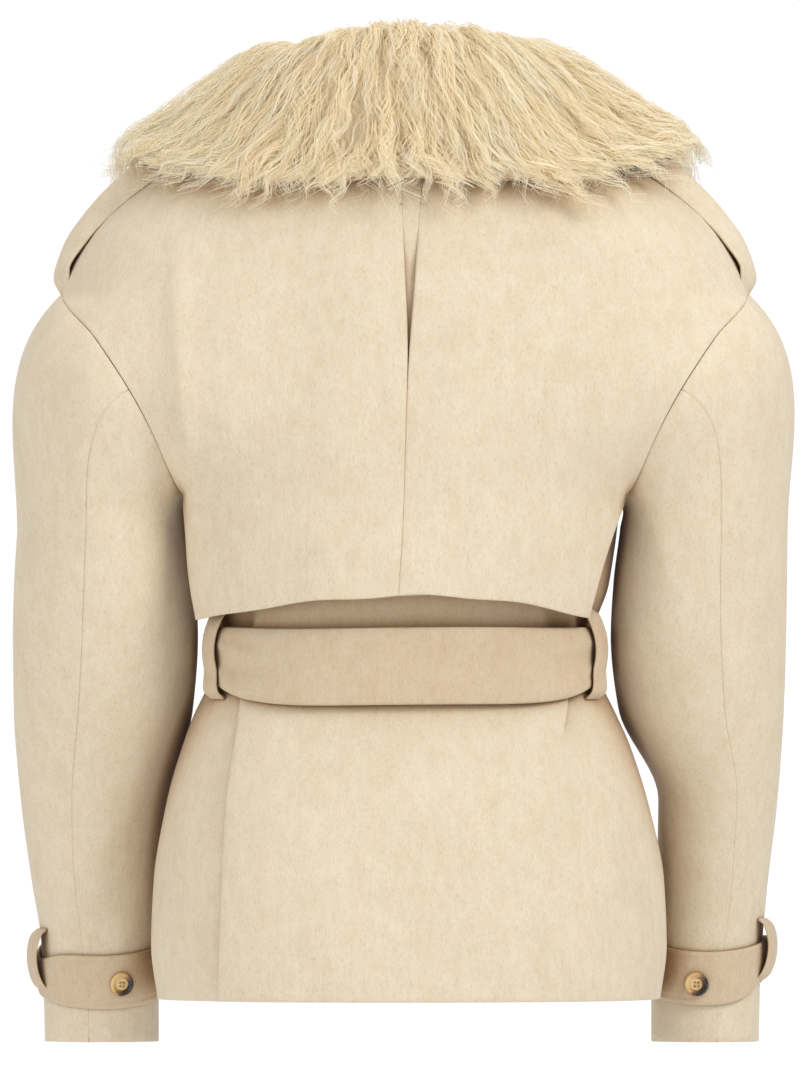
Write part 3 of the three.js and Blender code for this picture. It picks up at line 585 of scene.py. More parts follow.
def front_panel(side):
    level = np.minimum(body_levels(-CLOTH / 2, 14, 26, 74), -3)
    _, end, half_width = body_section(level, 1)
    first = angle_from_width(front_edge.inset(level) + CLOTH / 2, half_width)
    last = end - EDGE_INSET / body.front(level)
    angle = side * (first[:, None] + (last - first)[:, None] * np.linspace(0, 1, 44))
    level = np.broadcast_to(level[:, None], angle.shape)
    plain = body_point(1, angle, level)
    lap = 0 if side > 0 else (CLOTH + 4 * LAYER_GAP) * smooth(-TURN_IN_END, -TURN_IN_START, plain[..., 0])
    lap = lap * (1 - smooth(-235, -170, level))
    lift = creases(side * plain[..., 0], level, FRONT_CREASES[side])
    outer = body_point(1, angle, level, lift - lap)
    inner = outer - seam_way(outer, angle, level, 1, side) * CLOTH
    return cloth(f"front_cloth_{SIDES[side]}", outer, inner, WOOL_LOOK)


fronts = {side: front_panel(side) for side in SIDES}
print("fronts:", [len(front.data.polygons) for front in fronts.values()], "faces")

# %% [markdown]
# ## The storm flap
#
# The flap is a second layer over the upper back, caught in the armhole seams and free below them.
# An inverted pleat runs down its middle: the two folds stand a little apart under the collar and meet
# further down. The row of points across it therefore doubles back on itself four times. A flat sheet
# with a dark line painted on it would look closed from every side.

# %% The flap
FLAP_FREE_FROM, FLAP_CORNER, FLAP_MIDDLE = -303, -398, -380
FLAP_LIFT, SEAM_LIFT, BACK_GAP = 2, 0.6, 1.2
PLEAT_DEPTH, PLEAT_BED, PLEAT_BED_FLAT, PLEAT_BED_END = 21, 5.8, 42, 95
FOLD_RADIUS = (FLAP_CLOTH + LAYER_GAP) / 2
FLAP_COLUMNS = 46

flap = curves(
    "z left left_back right right_back back",
    (-303, 173, 48, 172, 49, 135), (-325, 169, 56, 163, 64, 137),
    (-355, 167, 54, 153, 70, 139), (-398, 159, 52, 142, 74, 140),
)
pleat = curves(
    "z middle gap",
    (0, 6, 24), (-60, 5, 18), (-128, 4, 11), (-190, 3, 2.8), (-210, 2, 1.3),
    (-343, -2, 1.1), (-398, -5, 0.9),
)

# Creases on the flap, seen from behind
FLAP_CREASES = [
    (-150, -110, -146, -360, 26, 2.2),
    (-176, -100, -171, -250, 9, 4.2),
    (-171, -200, -163, -350, 8, 4.4),
    (150, -150, 138, -250, 22, 1.6),
    (-120, -150, -96, -300, 30, 1.4),
    (96, -220, 84, -370, 26, 1.6),
    (40, -120, 34, -300, 24, 0.8),
    (-60, -290, -66, -385, 20, 1.4),
    (122, -320, 128, -398, 16, 1.8),
    (-136, -340, -142, -398, 14, 1.4),
]


def flap_section(z, side):
    depth, end, half_width = body_section(z, -1)
    left = np.asarray(side) < 0
    edge = np.where(left, flap.left(z), flap.right(z))
    free_depth = flap.back(z)
    free_end = angle_from_depth(np.where(left, flap.left_back(z), flap.right_back(z)), free_depth)
    free = z <= FLAP_FREE_FROM
    return (np.where(free, free_depth, depth), np.where(free, free_end, end),
            np.where(free, edge / rounded(np.sin(free_end)), half_width))


def flap_height(x, z):
    share = np.clip((FLAP_FREE_FROM - z) / (FLAP_FREE_FROM - FLAP_CORNER), 0, 1)
    wave = 0.9 * np.sin(x / 13 + 0.8) + 0.7 * np.sin(x / 31)
    bottom = FLAP_MIDDLE + (FLAP_CORNER - FLAP_MIDDLE) * (np.abs(x) / 150) ** 2 + wave
    return np.where(z > FLAP_FREE_FROM, z, FLAP_FREE_FROM + share * (bottom - FLAP_FREE_FROM))


def flap_base(angle, z):
    depth, _, half_width = flap_section(z, angle)
    x = half_width * rounded(np.sin(angle))
    return point(x, -depth * rounded(np.cos(angle)), flap_height(x, z))


def outward(surface, u, v, side):
    step = 1e-3
    across = surface(u + step, v) - surface(u - step, v)
    return side * unit(np.cross(across, surface(u, v + step) - surface(u, v - step)))


def flap_points(angle, z, height):
    base = flap_base(angle, z)
    _, end, _ = flap_section(z, angle)
    hanging = z <= FLAP_FREE_FROM
    at_edge = smooth(0.9, 0.99, np.abs(angle) / end) * ~hanging
    cosine = np.clip((z - ARMHOLE_MIDDLE) / ARMHOLE_HALF, -1, 1)
    inside_armhole = (z < SHOULDER_TIP) & ~hanging
    seam = armhole_way(np.arccos(cosine), -1, np.sign(angle))
    own = outward(flap_base, angle, np.where(np.abs(z - FLAP_FREE_FROM) < 0.01, z + 0.02, z), 1)
    way = unit(mix(own, seam, (at_edge * inside_armhole)[..., None]))
    bed = PLEAT_BED * (1 - smooth(PLEAT_BED_FLAT, PLEAT_BED_END, np.abs(base[..., 0])))
    lift = np.where(hanging, 0, FLAP_CLOTH + mix(FLAP_LIFT + bed, SEAM_LIFT, at_edge))
    share = 1 - smooth(FLAP_CORNER, -320, z)
    lift = lift + share * (1.4 * np.sin(base[..., 0] / 27 + 1.1) + 0.8 * np.sin(base[..., 0] / 14))
    return base + way * (lift + height)[..., None]


def folded_line(z):
    half, middle = pleat.gap(z) / 2, pleat.middle(z)
    turn = np.radians(np.linspace(90, -90, 7))

    def arc(x, layer, way):
        level = -FLAP_CLOTH / 2 - 2 * FOLD_RADIUS * layer
        return np.stack((x + FOLD_RADIUS * np.cos(turn) * way,
                         level - FOLD_RADIUS + FOLD_RADIUS * np.sin(turn)), axis=-1)

    left = np.concatenate((arc(-half - FOLD_RADIUS, 0, 1), arc(-half - PLEAT_DEPTH, 1, -1)))
    bottom = [[0, -FLAP_CLOTH / 2 - 4 * FOLD_RADIUS]]
    return np.concatenate((left, bottom, left[::-1] * (-1, 1))) + (middle, 0)


def flap_row(z, step):
    """Angle and height across the flap on one of its faces, a distance step from the cloth's middle."""
    line = folded_line(z)
    along = unit(line[2:] - line[:-2])
    across = line[1:-1, 0] - along[:, 1] * step
    heights = line[1:-1, 1] + along[:, 0] * step
    depth, end, half_width = flap_section(z, -1)
    right_depth, right_end, right_half = flap_section(z, 1)
    folded = angle_from_width(across, np.where(across < 0, half_width, right_half))
    face = 0 if step > 0 else -FLAP_CLOTH
    first = angle_from_width(line[0, 0], half_width)
    last = angle_from_width(line[-1, 0], right_half)
    beside = np.full(FLAP_COLUMNS, face)
    return (np.concatenate((np.linspace(EDGE_INSET / depth - end, first, FLAP_COLUMNS), folded,
                            np.linspace(last, right_end - EDGE_INSET / right_depth, FLAP_COLUMNS))),
            np.concatenate((beside, heights, beside)))


flap_z = body_levels(-2, 12, 40, 3)
flap_z = np.concatenate((flap_z[flap_z > FLAP_FREE_FROM], np.linspace(FLAP_FREE_FROM, FLAP_CORNER, 34)))


def flap_face(step):
    rows = [flap_row(z, step) for z in flap_z]
    angle, height = (np.array([row[k] for row in rows]) for k in (0, 1))
    return flap_points(angle, np.broadcast_to(flap_z[:, None], angle.shape), height)


def eased(points, turns=40):
    """Cloth spans a hollow instead of following it, so each column is drawn taut, except at the seams."""
    share = np.abs(np.linspace(-1, 1, points.shape[1]))[None, :, None]
    hanging = (flap_z <= FLAP_FREE_FROM)[1:-1, None, None]
    give = np.where(hanging, 0.5, 0.5 * (1 - smooth(0.88, 1, share)))
    points = points.copy()
    for _ in range(turns):
        points[1:-1] += give * ((points[:-2] + points[2:]) / 2 - points[1:-1])
    return points


def clear_of_back(points, gap):
    """Drawn taut, the cloth must still lie outside the back, so what sank in is moved out again."""
    x, y, z = (points[..., k] for k in range(3))
    depth, _, half_width = body_section(z, -1)
    size = ((np.abs(x) / half_width) ** ROUNDNESS + (np.abs(y) / depth) ** ROUNDNESS) ** (1 / ROUNDNESS)
    away = np.hypot(x, y)
    on_shoulder = smooth(SHOULDER_TIP, -60, z)
    short = np.maximum(gap * (1 + 1.2 * on_shoulder) - away * (1 - 1 / np.maximum(size, 0.5)), 0)
    short = short * smooth(FLAP_FREE_FROM, FLAP_FREE_FROM + 30, z)
    return points + point(x, y, 0 * z) / away[..., None] * short[..., None]


flap_outer = clear_of_back(eased(flap_face(FLAP_CLOTH / 2)), BACK_GAP + FLAP_CLOTH)
flap_inner = clear_of_back(eased(flap_face(-FLAP_CLOTH / 2)), BACK_GAP)
share = np.abs(np.linspace(-1, 1, flap_outer.shape[1]))
sewn = smooth(0.9, 0.97, share)[None, :] * (flap_z > FLAP_FREE_FROM)[:, None]
folds = creases(flap_outer[..., 0], flap_outer[..., 2], FLAP_CREASES) * (1 - sewn)
flap_outer, flap_inner = (face - folds[..., None] * (0, 1, 0) for face in (flap_outer, flap_inner))
storm_flap = cloth("storm_flap_cloth", flap_outer, flap_inner, WOOL_LOOK)
print("flap:", len(storm_flap.data.polygons), "faces")

# %% [markdown]
# ## The sleeves
#
# Each sleeve is two pieces, an upper and an under one, sewn down the back and the front of the arm.
# The head of the sleeve runs from the oval of the armhole to a level ring, and from there the arm
# hangs slightly forward. A rounded edge on both pieces leaves the fine groove of a pressed seam.

# %% The sleeves
SLEEVE_ROUND, CUFF_END = -332, -726
FRONT_SEAM_ANGLE = -108
SEWN_BULGE, SEAM_APART, ARMHOLE_PRESS, ARMHOLE_PROUD = 0.45, -0.2, 0.9, 0.6
HEAD_MIDDLE = -222

sleeve = curves(
    "z left_out left_in right_out right_in forward half_depth",
    (-332, 298, 165, 294, 165, 4, 78), (-372, 300.5, 161, 293.5, 160, 9, 75),
    (-412, 301.5, 159, 293, 158, 16, 72), (-468, 301, 163, 291.5, 164, 30, 67),
    (-538, 296, 181, 287, 195, 55, 59), (-600, 288, 187, 280, 194, 77, 53),
    (-645, 281, 189, 276, 191, 88, 50), (-681, 279, 190, 274, 190, 94, 48),
    (-726, 278, 190, 273, 190, 99, 47),
)
back_seam = curves("z angle", (-222, 85), (-290, 81), (-355, 78), (-525, 73), (-610, 71), (-700, 78))

# Creases on the sleeves: x, away from the middle of the coat, and z of each end, width, height
SLEEVE_CREASES = {
    (-1, "back"): [
        (262, -250, 236, -330, 16, 1.6), (190, -330, 206, -420, 11, 1.8), (272, -430, 262, -520, 14, 1.4),
        (196, -470, 214, -540, 9, 1.3), (212, -560, 250, -585, 10, 0.9), (200, -618, 226, -655, 7, 1.2),
        (262, -600, 270, -640, 8, 1.1),
    ],
    (1, "back"): [
        (190, -292, 200, -368, 9, 2.8), (260, -260, 236, -330, 16, 1.5), (250, -400, 262, -500, 14, 1.4),
        (200, -480, 222, -545, 9, 1.3), (204, -575, 240, -592, 9, 0.9), (255, -610, 262, -645, 8, 1.1),
    ],
    (-1, "front"): [
        (186, -470, 250, -452, 10, 2.2), (190, -500, 262, -492, 9, 2), (196, -528, 240, -540, 9, 1.6),
        (250, -260, 225, -330, 15, 1.8),
    ],
    (1, "front"): [
        (190, -462, 246, -446, 10, 2), (198, -496, 256, -484, 9, 2.1), (204, -530, 246, -538, 9, 1.5),
        (246, -262, 222, -330, 15, 1.8),
    ],
}


def sleeve_ring(side, angle, z, out=0):
    far, near = (getattr(sleeve, f"{SIDES[side]}_{edge}")(z) for edge in ("out", "in"))
    return point(
        side * ((far + near) / 2 + ((far - near) / 2 + out) * np.cos(angle)),
        sleeve.forward(z) - (sleeve.half_depth(z) + out) * np.sin(angle),
        z,
    )


def sleeve_head(side, angle, share):
    """From the armhole seam (share 0) to the first level ring (share 1)."""
    turned = np.where(angle > math.pi, angle - 2 * math.pi, angle)
    z = ARMHOLE_MIDDLE + ARMHOLE_HALF * np.cos(turned)
    face = np.where(np.sin(turned) >= 0, -1, 1)
    _, end, _ = body_section(z, face)
    sine, cosine = np.abs(np.sin(turned)), np.cos(turned)
    top, bottom = np.maximum(cosine, 0), np.maximum(-cosine, 0)
    leave = unit(point(side * (0.72 * top + 0.5 * bottom + 0.85 * sine), 0 * sine,
                       -(0.69 * top + 0.9 * bottom + 0.5 * sine)))
    seam = body_point(face, side * end, z) + leave * (SEAM + CLOTH / 2 - ARMHOLE_PRESS)
    over_flap = (face < 0) * smooth(FLAP_FREE_FROM, FLAP_FREE_FROM + 40, z)
    proud = ARMHOLE_PROUD + FLAP_LIFT * over_flap
    seam = seam + armhole_way(np.abs(turned), face, side) * proud[..., None]
    leave = leave * (1 + 0.2 * top)[..., None]
    ring = sleeve_ring(side, angle, SLEEVE_ROUND + 0 * angle)
    chord = np.linalg.norm(ring - seam, axis=-1, keepdims=True)
    t = share[..., None]
    down = np.array((0, 0, -1.0))
    return (seam * (1 + 2 * t) * (1 - t) ** 2 + leave * chord * t * (1 - t) ** 2
            + ring * t * t * (3 - 2 * t) - down * chord * t * t * (1 - t))


def sleeve_piece(side, upper):
    hanging = SLEEVE_ROUND - np.linspace(SLEEVE_ROUND, CUFF_END + CLOTH / 2, 74)
    v = np.concatenate((np.linspace(-1, 0, 22)[:-1], hanging))
    z = np.where(v < 0, mix(HEAD_MIDDLE, SLEEVE_ROUND, v + 1), SLEEVE_ROUND - v)
    seam_back, seam_front = np.radians(back_seam.angle(z)), math.radians(FRONT_SEAM_ANGLE)
    gap = (SEAM_APART + SEWN_BULGE * CLOTH / 2) / mix(105, 60, smooth(-1, -0.1, v))
    if upper:
        first, last, columns = seam_front + gap + 0 * z, seam_back - gap, 52
    else:
        first, last, columns = seam_back + gap, seam_front + 2 * math.pi - gap + 0 * z, 44
    share = 0.5 - 0.5 * np.cos(np.linspace(0, math.pi, columns))
    share = mix(np.linspace(0, 1, columns), share, 0.6)
    angle = first[:, None] + (last - first)[:, None] * share
    v = np.broadcast_to(v[:, None], angle.shape)
    ring = sleeve_ring(side, angle, SLEEVE_ROUND - np.maximum(v, 0))
    outer = np.where(v[..., None] < 0, sleeve_head(side, angle, np.clip(v + 1, 0, 1)), ring)
    way = way_out(outer, side)
    turned = np.where(angle > math.pi, angle - 2 * math.pi, angle)
    seam = armhole_way(np.abs(turned), np.where(turned >= 0, -1, 1), side)
    way = unit(mix(seam, way, smooth(-1, -0.86, v)[..., None]))
    from_edge = 60 * np.minimum(angle - angle[:, :1], angle[:, -1:] - angle)
    lift = 0.45 * np.exp(-((from_edge / 6) ** 2)) * smooth(-1, -0.8, v)
    for name, showing in (("back", np.sin(angle) > 0), ("front", np.sin(angle) <= 0)):
        folds = creases(side * outer[..., 0], outer[..., 2], SLEEVE_CREASES[side, name])
        lift = lift + folds * showing * smooth(0, 0.35, np.abs(np.sin(angle)))
    outer = outer + way * lift[..., None]
    name = f"sleeve_{'upper' if upper else 'under'}_cloth_{SIDES[side]}"
    return cloth(name, outer, outer - way * CLOTH, SLEEVE_LOOK, SEWN_BULGE)


sleeves = {(side, upper): sleeve_piece(side, upper) for side in SIDES for upper in (True, False)}
print("sleeves:", sum(len(piece.data.polygons) for piece in sleeves.values()), "faces")

# %% [markdown]
# ## The shoulder straps
#
# A strap on each shoulder is caught in the sleeve seam, bows over the shoulder with a narrow gap
# under it and runs in under the collar. Its edges are turned in and sewn, which leaves a faint
# channel a few millimetres in from the edge.

# %% The shoulder straps
STITCH_INSET, STITCH_WIDTH, STITCH_DEPTH = 4.5, 0.9, 0.45
STRAP_EDGE, STRAP_HALF_ROUND = 0.95, 34

strap = curves(
    "at crest_x crest_z edge_x edge_z half_y",
    (0, 264, -151, 259, -150, 22), (1, 270, -137, 259, -130, 25), (2, 262, -111, 244, -107, 25),
    (3, 246, -87, 221, -84, 24), (4, 227, -66, 198, -66, 24), (5, 204, -47, 174, -49, 24),
    (6, 176, -32, 147, -31, 24), (7, 140, -22, 124, -18.2, 22),
)


def stitch_channel(from_edge):
    return -STITCH_DEPTH * np.exp(-(((from_edge - STITCH_INSET) / STITCH_WIDTH) ** 2))


def shoulder_strap(side):
    across, at = np.meshgrid(np.linspace(-STRAP_EDGE, STRAP_EDGE, 41), np.linspace(0.02, 6.98, 80))
    droop = 1 - np.cos(across * math.pi / 2)
    outer = point(
        side * mix(strap.crest_x(at), strap.edge_x(at), droop),
        strap.half_y(at) * across,
        mix(strap.crest_z(at), strap.edge_z(at), droop),
    )
    way = way_out(outer, side)
    from_edge = STRAP_HALF_ROUND * (STRAP_EDGE - np.abs(across))
    dome = -0.7 * np.exp(-((from_edge / 2.2) ** 2))
    outer = outer + way * (stitch_channel(from_edge) + dome)[..., None]
    return cloth(f"shoulder_strap_cloth_{SIDES[side]}", outer, outer - way * (STRAP_CLOTH - 0.5), WOOL_LOOK)


straps = {side: shoulder_strap(side) for side in SIDES}
print("shoulder straps:", [piece.name for piece in straps.values()])

# %% [markdown]
# ## The collar
#
# A cloth under collar carries the fur. It rises from the neck, rolls over and falls on the shoulders,
# and from each shoulder it goes on down the front edge as a shawl. One smooth curve from the seam to
# the free edge, at each station round the neck, gives all of it.

# %% The collar's surface
COLLAR_SHOULDER, COLLAR_END = 4, 9
FALL_ON, FALL_DOWN = 150, 160
COLLAR_STATIONS = [
    (0, 0, 0, -113, -62, 104, 14, 57, 0), (1, 0, 66, -107, -64, 102, 18, 56, 0),
    (2, 0, 128, -90, -62, 96, 34, 46, 0), (3, 0, 180, -52, -50, 86, 56, 34, 0),
    (4, 0, 207, 2, -38, 80, 66, 30, 0), (5, -9, 199, 58, -62, 72, 60, 32, 0.2),
    (6, -40, 172, 100, -102, 58, 46, 34, 0.6), (7, -98, 128, 122, -146, 38, 32, 26, 1.4),
    (8, -148, 84, 131, -180, 24, 20, 18, 3), (9, -188, 38, 136, -206, 12, 8, 9, 5),
]
OTHER_SIDE = [(-at, seam, -x, *rest) for at, seam, x, *rest in COLLAR_STATIONS[1:]]
collar = curves("at seam_z edge_x edge_y edge_z roll inset lift up_y", *COLLAR_STATIONS, *OTHER_SIDE)


def neck_seam(at):
    behind = body_point(-1, np.clip(at / COLLAR_SHOULDER, -1, 1) * math.pi / 2, 0 * at)
    z = collar.seam_z(at)
    _, _, half_width = body_section(z, 1)
    before = body_point(1, np.sign(at) * angle_from_width(front_edge.inset(z), half_width), z)
    return np.where((np.abs(at) <= COLLAR_SHOULDER)[..., None], behind, before)


def collar_surface(across, at):
    """across runs from the neck seam (0) over the roll to the free edge (1), and on past it."""
    up = unit(point(0 * at, collar.up_y(at), 1 + 0 * at))
    seam = neck_seam(at)
    edge = point(collar.edge_x(at), collar.edge_y(at), collar.edge_z(at))
    level = edge - seam
    level = unit(level - up * (level * up).sum(axis=-1, keepdims=True))
    roll = seam + up * collar.roll(at)[..., None] + level * 5
    fall = edge + up * collar.lift(at)[..., None] - level * collar.inset(at)[..., None]
    t = np.minimum(across, 1)[..., None]
    rest = 1 - t
    line = (seam + up) * rest ** 3 + 3 * roll * t * rest ** 2 + 3 * fall * t * t * rest + edge * t ** 3
    past = np.maximum(across - 1, 0)[..., None]
    return line + unit(edge - fall) * past * FALL_ON - up * past * past * FALL_DOWN


def collar_way(across, at):
    return outward(collar_surface, across, at, 1)


def collar_grid(first, last, columns, rows):
    return np.meshgrid(np.linspace(first, last, columns), np.linspace(-COLLAR_END, COLLAR_END, rows))


across, at = collar_grid(0.004, 0.99, 22, 110)
outer = collar_surface(across, at)
under_collar = cloth("under_collar_cloth", outer, outer - collar_way(across, at) * CLOTH, TRIM_SHADED_LOOK)
print("under collar:", len(under_collar.data.polygons), "faces")

# %% [markdown]
# ## The fur
#
# The fur is lamb with the wool left long: locks of wavy hair, straight at the skin and curlier
# towards their ends, combed down over the collar and out to both sides. Blender has a hair system,
# but hair curves are no surface. So each hair here is a thin tapering ribbon that follows its lock,
# with waves of its own that grow towards the tip. Under them lies a plain pelt, so that no gap shows.

# %% The pelt
PELT_EDGE, PELT_SHADE = 0.985, 0.3
fur_depth = curves("across depth", (0, 7), (0.3, 17), (0.6, 24), (1, 25))


def fur_thin(at):
    """The fur thins towards the ends of the shawl, and lies flat on the shoulders, most on the left."""
    flat = np.where(at < 0, 0.55, 0.3) * np.exp(-((np.abs(at) - 2.8) / 1.7) ** 2)
    return (1 - 0.55 * smooth(6, COLLAR_END, np.abs(at))) * (1 - flat)


def pelt():
    across, at = collar_grid(0.01, PELT_EDGE, 44, 200)
    lumps = np.sin(at * 9 + 2 * np.sin(across * 7)) * 0.5 + np.sin(at * 23 + across * 11) * 0.3
    depth = fur_thin(at) * fur_depth.depth(across) * (0.42 + 0.1 * lumps)
    depth = depth * (1 - 0.75 * smooth(0.8, PELT_EDGE, across))
    surface, way = collar_surface(across, at), collar_way(np.minimum(across, 0.99), at)
    outer, inner = surface + way * np.maximum(depth, 1.6)[..., None], surface + way * 0.5
    obj = cloth("fur_pelt", outer, inner, FUR_LOOK)
    paint(obj, "hair shade", np.full(len(obj.data.vertices), PELT_SHADE))
    return obj


fur_pelt = pelt()

# %% The locks
LOCKS, HAIRS_IN_LOCK, HAIR_POINTS = 1400, 16, 11
HAIR_WIDTH = 0.66


def lock_hairs(locks, hairs, lift=(0.45, 1.08), lift_more=0.0, width=HAIR_WIDTH, past=0.21):
    """Ribbon points of all hairs in some locks, and the shade at each point."""
    even = (np.arange(locks) + chance.uniform(-0.5, 0.5, locks)) / locks
    side_reach = np.sort(even) * 2 - 1
    lock_at = COLLAR_END * 0.99 * np.sign(side_reach) * np.abs(side_reach) ** 0.92
    root = chance.permutation(np.linspace(-0.02, 0.93, locks))
    lock_root = np.where(root < 0.02, chance.uniform(0.0, 0.05, locks), root)
    length = chance.uniform(0.30, 0.5, locks) * mix(1, 0.72, smooth(0.5, 1, lock_root))
    drift = chance.normal(0, 0.15, locks)
    swing = chance.uniform(0.0, 2 * math.pi, locks)
    stop = chance.uniform(1.0, 1 + past, locks)
    curl = chance.uniform(0.6, 1.5, locks)
    turns = chance.uniform(1.4, 3, locks)
    height = chance.uniform(*lift, locks)
    tone = chance.uniform(-0.24, 0.16, locks)
    t = np.linspace(0, 1, HAIR_POINTS)[None, None, :]

    def each(values):
        return values[:, None, None]

    def own(spread):
        return chance.normal(0, spread, (locks, hairs, 1))

    start = np.clip(each(lock_root) + own(0.02), 0.002, 0.95)
    reach = np.minimum(each(length) * (1 + own(0.16)), each(stop) + own(0.015) - start)
    across = start + reach * t
    pinch = mix(1, 0.2, t ** 1.1)
    wave = each(swing) + own(0.25) + 2 * math.pi * each(turns) * (t ** 1.2)
    grow = each(curl) * (0.14 + 0.86 * t ** 1.2)
    sweep = 0.5 * np.tanh(each(lock_at)) * np.exp(-((each(lock_at) / 5) ** 4))
    at = each(lock_at) + own(0.065) * pinch + (each(drift) + sweep) * t + 0.1 * grow * np.sin(wave)
    at = np.clip(at, -COLLAR_END, COLLAR_END)
    surface = collar_surface(across, at)
    way = collar_way(across, at)
    cover = fur_thin(at) * fur_depth.depth(across)
    rise = each(height) * (0.12 + 0.88 * smooth(0, 0.35, t)) * (1 - 0.2 * t) + own(0.09)
    rise = rise + lift_more * t + 0.13 * grow * np.cos(wave)
    beyond = smooth(1, 1.14, across)
    settle = mix(rise, 0.42 + 0.25 * np.cos(wave) * each(curl), 0.75 * beyond)
    line = surface + way * (np.maximum(settle, 0.1) * cover)[..., None]
    along = unit(np.gradient(line, axis=2))
    wide = unit(np.cross(along, way))
    tilt = own(0.7)[..., None]
    wide = unit(wide * np.cos(tilt) + np.cross(along, wide) * np.sin(tilt))
    taper = width * (0.55 + 0.45 * smooth(0, 0.15, t)) * (1 - 0.8 * smooth(0.6, 1, t))
    edge = wide * (taper * np.ones_like(across))[..., None] / 2
    shade = np.clip(0.3 + 0.45 * smooth(0, 0.6, t) + each(tone) + own(0.07) + 0 * across, 0, 1)
    return np.stack((line - edge, line + edge), axis=3), np.stack((shade, shade), axis=3)


def hair_piece(name, points, shades):
    """One mesh from hairs, each a row of pairs of points."""
    pairs = points.reshape(-1, HAIR_POINTS, 2, 3)
    first = np.arange(len(pairs))[:, None] * HAIR_POINTS * 2 + np.arange(HAIR_POINTS - 1) * 2
    first = first.ravel()
    faces = np.stack((first, first + 1, first + 3, first + 2), axis=-1)
    obj = make_piece(name, pairs, faces, FUR_LOOK, closed=False)
    paint(obj, "hair shade", shades.reshape(-1))
    return obj


points, shades = lock_hairs(LOCKS, HAIRS_IN_LOCK)
parts = np.array_split(np.arange(LOCKS), 4)
fur_locks = [hair_piece(f"fur_locks_{k + 1}", points[part], shades[part]) for k, part in enumerate(parts)]
points, shades = lock_hairs(700, 6, lift=(0.3, 0.5), width=2.4, past=0.06)
fur_under = hair_piece("fur_underwool", points, shades)
points, shades = lock_hairs(420, 3, lift_more=0.25, width=0.4, past=0.26)
fur_wisps = hair_piece("fur_wisps", points, shades)
print("fur:", LOCKS * HAIRS_IN_LOCK, "hairs in", LOCKS, "locks,",
      2 * sum(len(o.data.polygons) for o in (*fur_locks, fur_under, fur_wisps)), "triangles")

# %% [markdown]
# ## The belt
#
# The belt is a doubled, lightly padded band. It narrows where the loops gather it, and its ends lap
# over each other at the front, where the photo doesn't show how it fastens.

# %% The belt
BELT_HEIGHT, BELT_HEIGHT_AT_LOOPS, WAIST, BELT_LAP = 60, 42, -435, 0.12
BELT_EASE_SIDE, BELT_EASE_BACK, BELT_EASE_FRONT = 3.8, 10.5, 3.8

# Creases on the belt: distance round it from the middle of the back and height on it, width, height
BELT_CREASES = [
    (-160, 12, -95, 4, 6, 2.6), (-165, -12, -110, -22, 5, 2.4), (158, 14, 100, 8, 6, 2.4),
    (162, -10, 112, -19, 5, 2.3), (-60, 10, 20, 14, 8, 1), (20, -14, 90, -10, 8, 1),
    (-210, 0, -262, 6, 7, 1.3), (208, 2, 262, -6, 7, 1.3), (-330, -8, -290, 6, 8, 0.9),
    (300, 8, 345, -6, 8, 0.9),
]
BELT_HALF_LENGTH, BELT_HALF_FLAT = 420, 28


def belt_point(turn, height, out):
    angle = turn * math.pi
    sine, cosine = np.sin(angle), np.cos(angle)
    face = np.where(cosine >= 0, -1, 1)
    narrow = np.minimum(np.abs(sine) / 0.95, 1) ** 5
    z = WAIST + 9 * narrow + mix(BELT_HEIGHT, BELT_HEIGHT_AT_LOOPS, narrow) / 2 * height
    z = z + 0.7 * np.sin(turn * 11 + 0.6) * (1 - narrow)
    lap = (BELT_CLOTH + LAYER_GAP) * smooth(0.74, 1 - BELT_LAP, turn)
    depth = np.where(face < 0, body.back(z) + BELT_EASE_BACK, body.front(z) + BELT_EASE_FRONT)
    return point(
        (body.half_width(z) + BELT_EASE_SIDE + out + lap) * rounded(sine),
        face * (depth + out + lap) * rounded(np.abs(cosine)),
        z,
    )


def make_belt():
    end = 1 + BELT_LAP
    height, turn = np.meshgrid(np.linspace(-0.93, 0.93, 25), np.linspace(-end, end, 300))
    folds = creases(turn * BELT_HALF_LENGTH, height * BELT_HALF_FLAT, BELT_CREASES)
    from_edge = (1 - np.abs(height)) * BELT_HALF_FLAT
    rim = -1.6 * np.exp(-((from_edge / 4) ** 2))
    outer = belt_point(turn, height, BELT_CLOTH + folds + rim + 1.4 * (1 - height ** 2))
    inner = belt_point(turn, height, 0.3 * (1 - np.abs(height)))
    return cloth("belt_band", outer, inner, TRIM_SHADED_LOOK)


belt = make_belt()


def bridge(name, place, across, out, top, bottom, angle, radius, bow):
    """A loop of cloth sewn down at its ends, bowed out and sideways by what passes under it."""
    t = np.linspace(0, 1, 40)
    rise = 0.8 + out * np.sin(math.pi * t) ** 0.38
    angle = angle + math.radians(bow) * np.sin(math.pi * t)[:, None]
    span = across / 2 / radius * 0.9
    ends = 1.6 * ((t < 0.02) * 1.0 - (t > 0.98))
    turn, level = np.meshgrid(np.linspace(-span, span, 11), mix(top, bottom, t))
    rise = np.broadcast_to(rise[:, None], turn.shape)
    rim = -0.4 * np.exp(-(((span - np.abs(turn)) * radius / 1.6) ** 2))
    outer = place(angle + turn, level + ends[:, None], rise + CLOTH + rim)
    return cloth(name, outer, place(angle + turn, level, rise), TRIM_SHADED_LOOK)


def tuck_rise(x, z):
    left = tucks.left_rise(z) * smooth(-tucks.left(z) - 5, -tucks.left(z), x)
    return np.where(x < 0, left, tucks.right_rise(z) * smooth(-tucks.right(z) - 5, -tucks.right(z), -x))


def loop_on_body(side):
    def place(angle, z, out):
        plain = body_point(-1, side * angle, z)
        return body_point(-1, side * angle, z, out + tuck_rise(plain[..., 0], z))
    return place


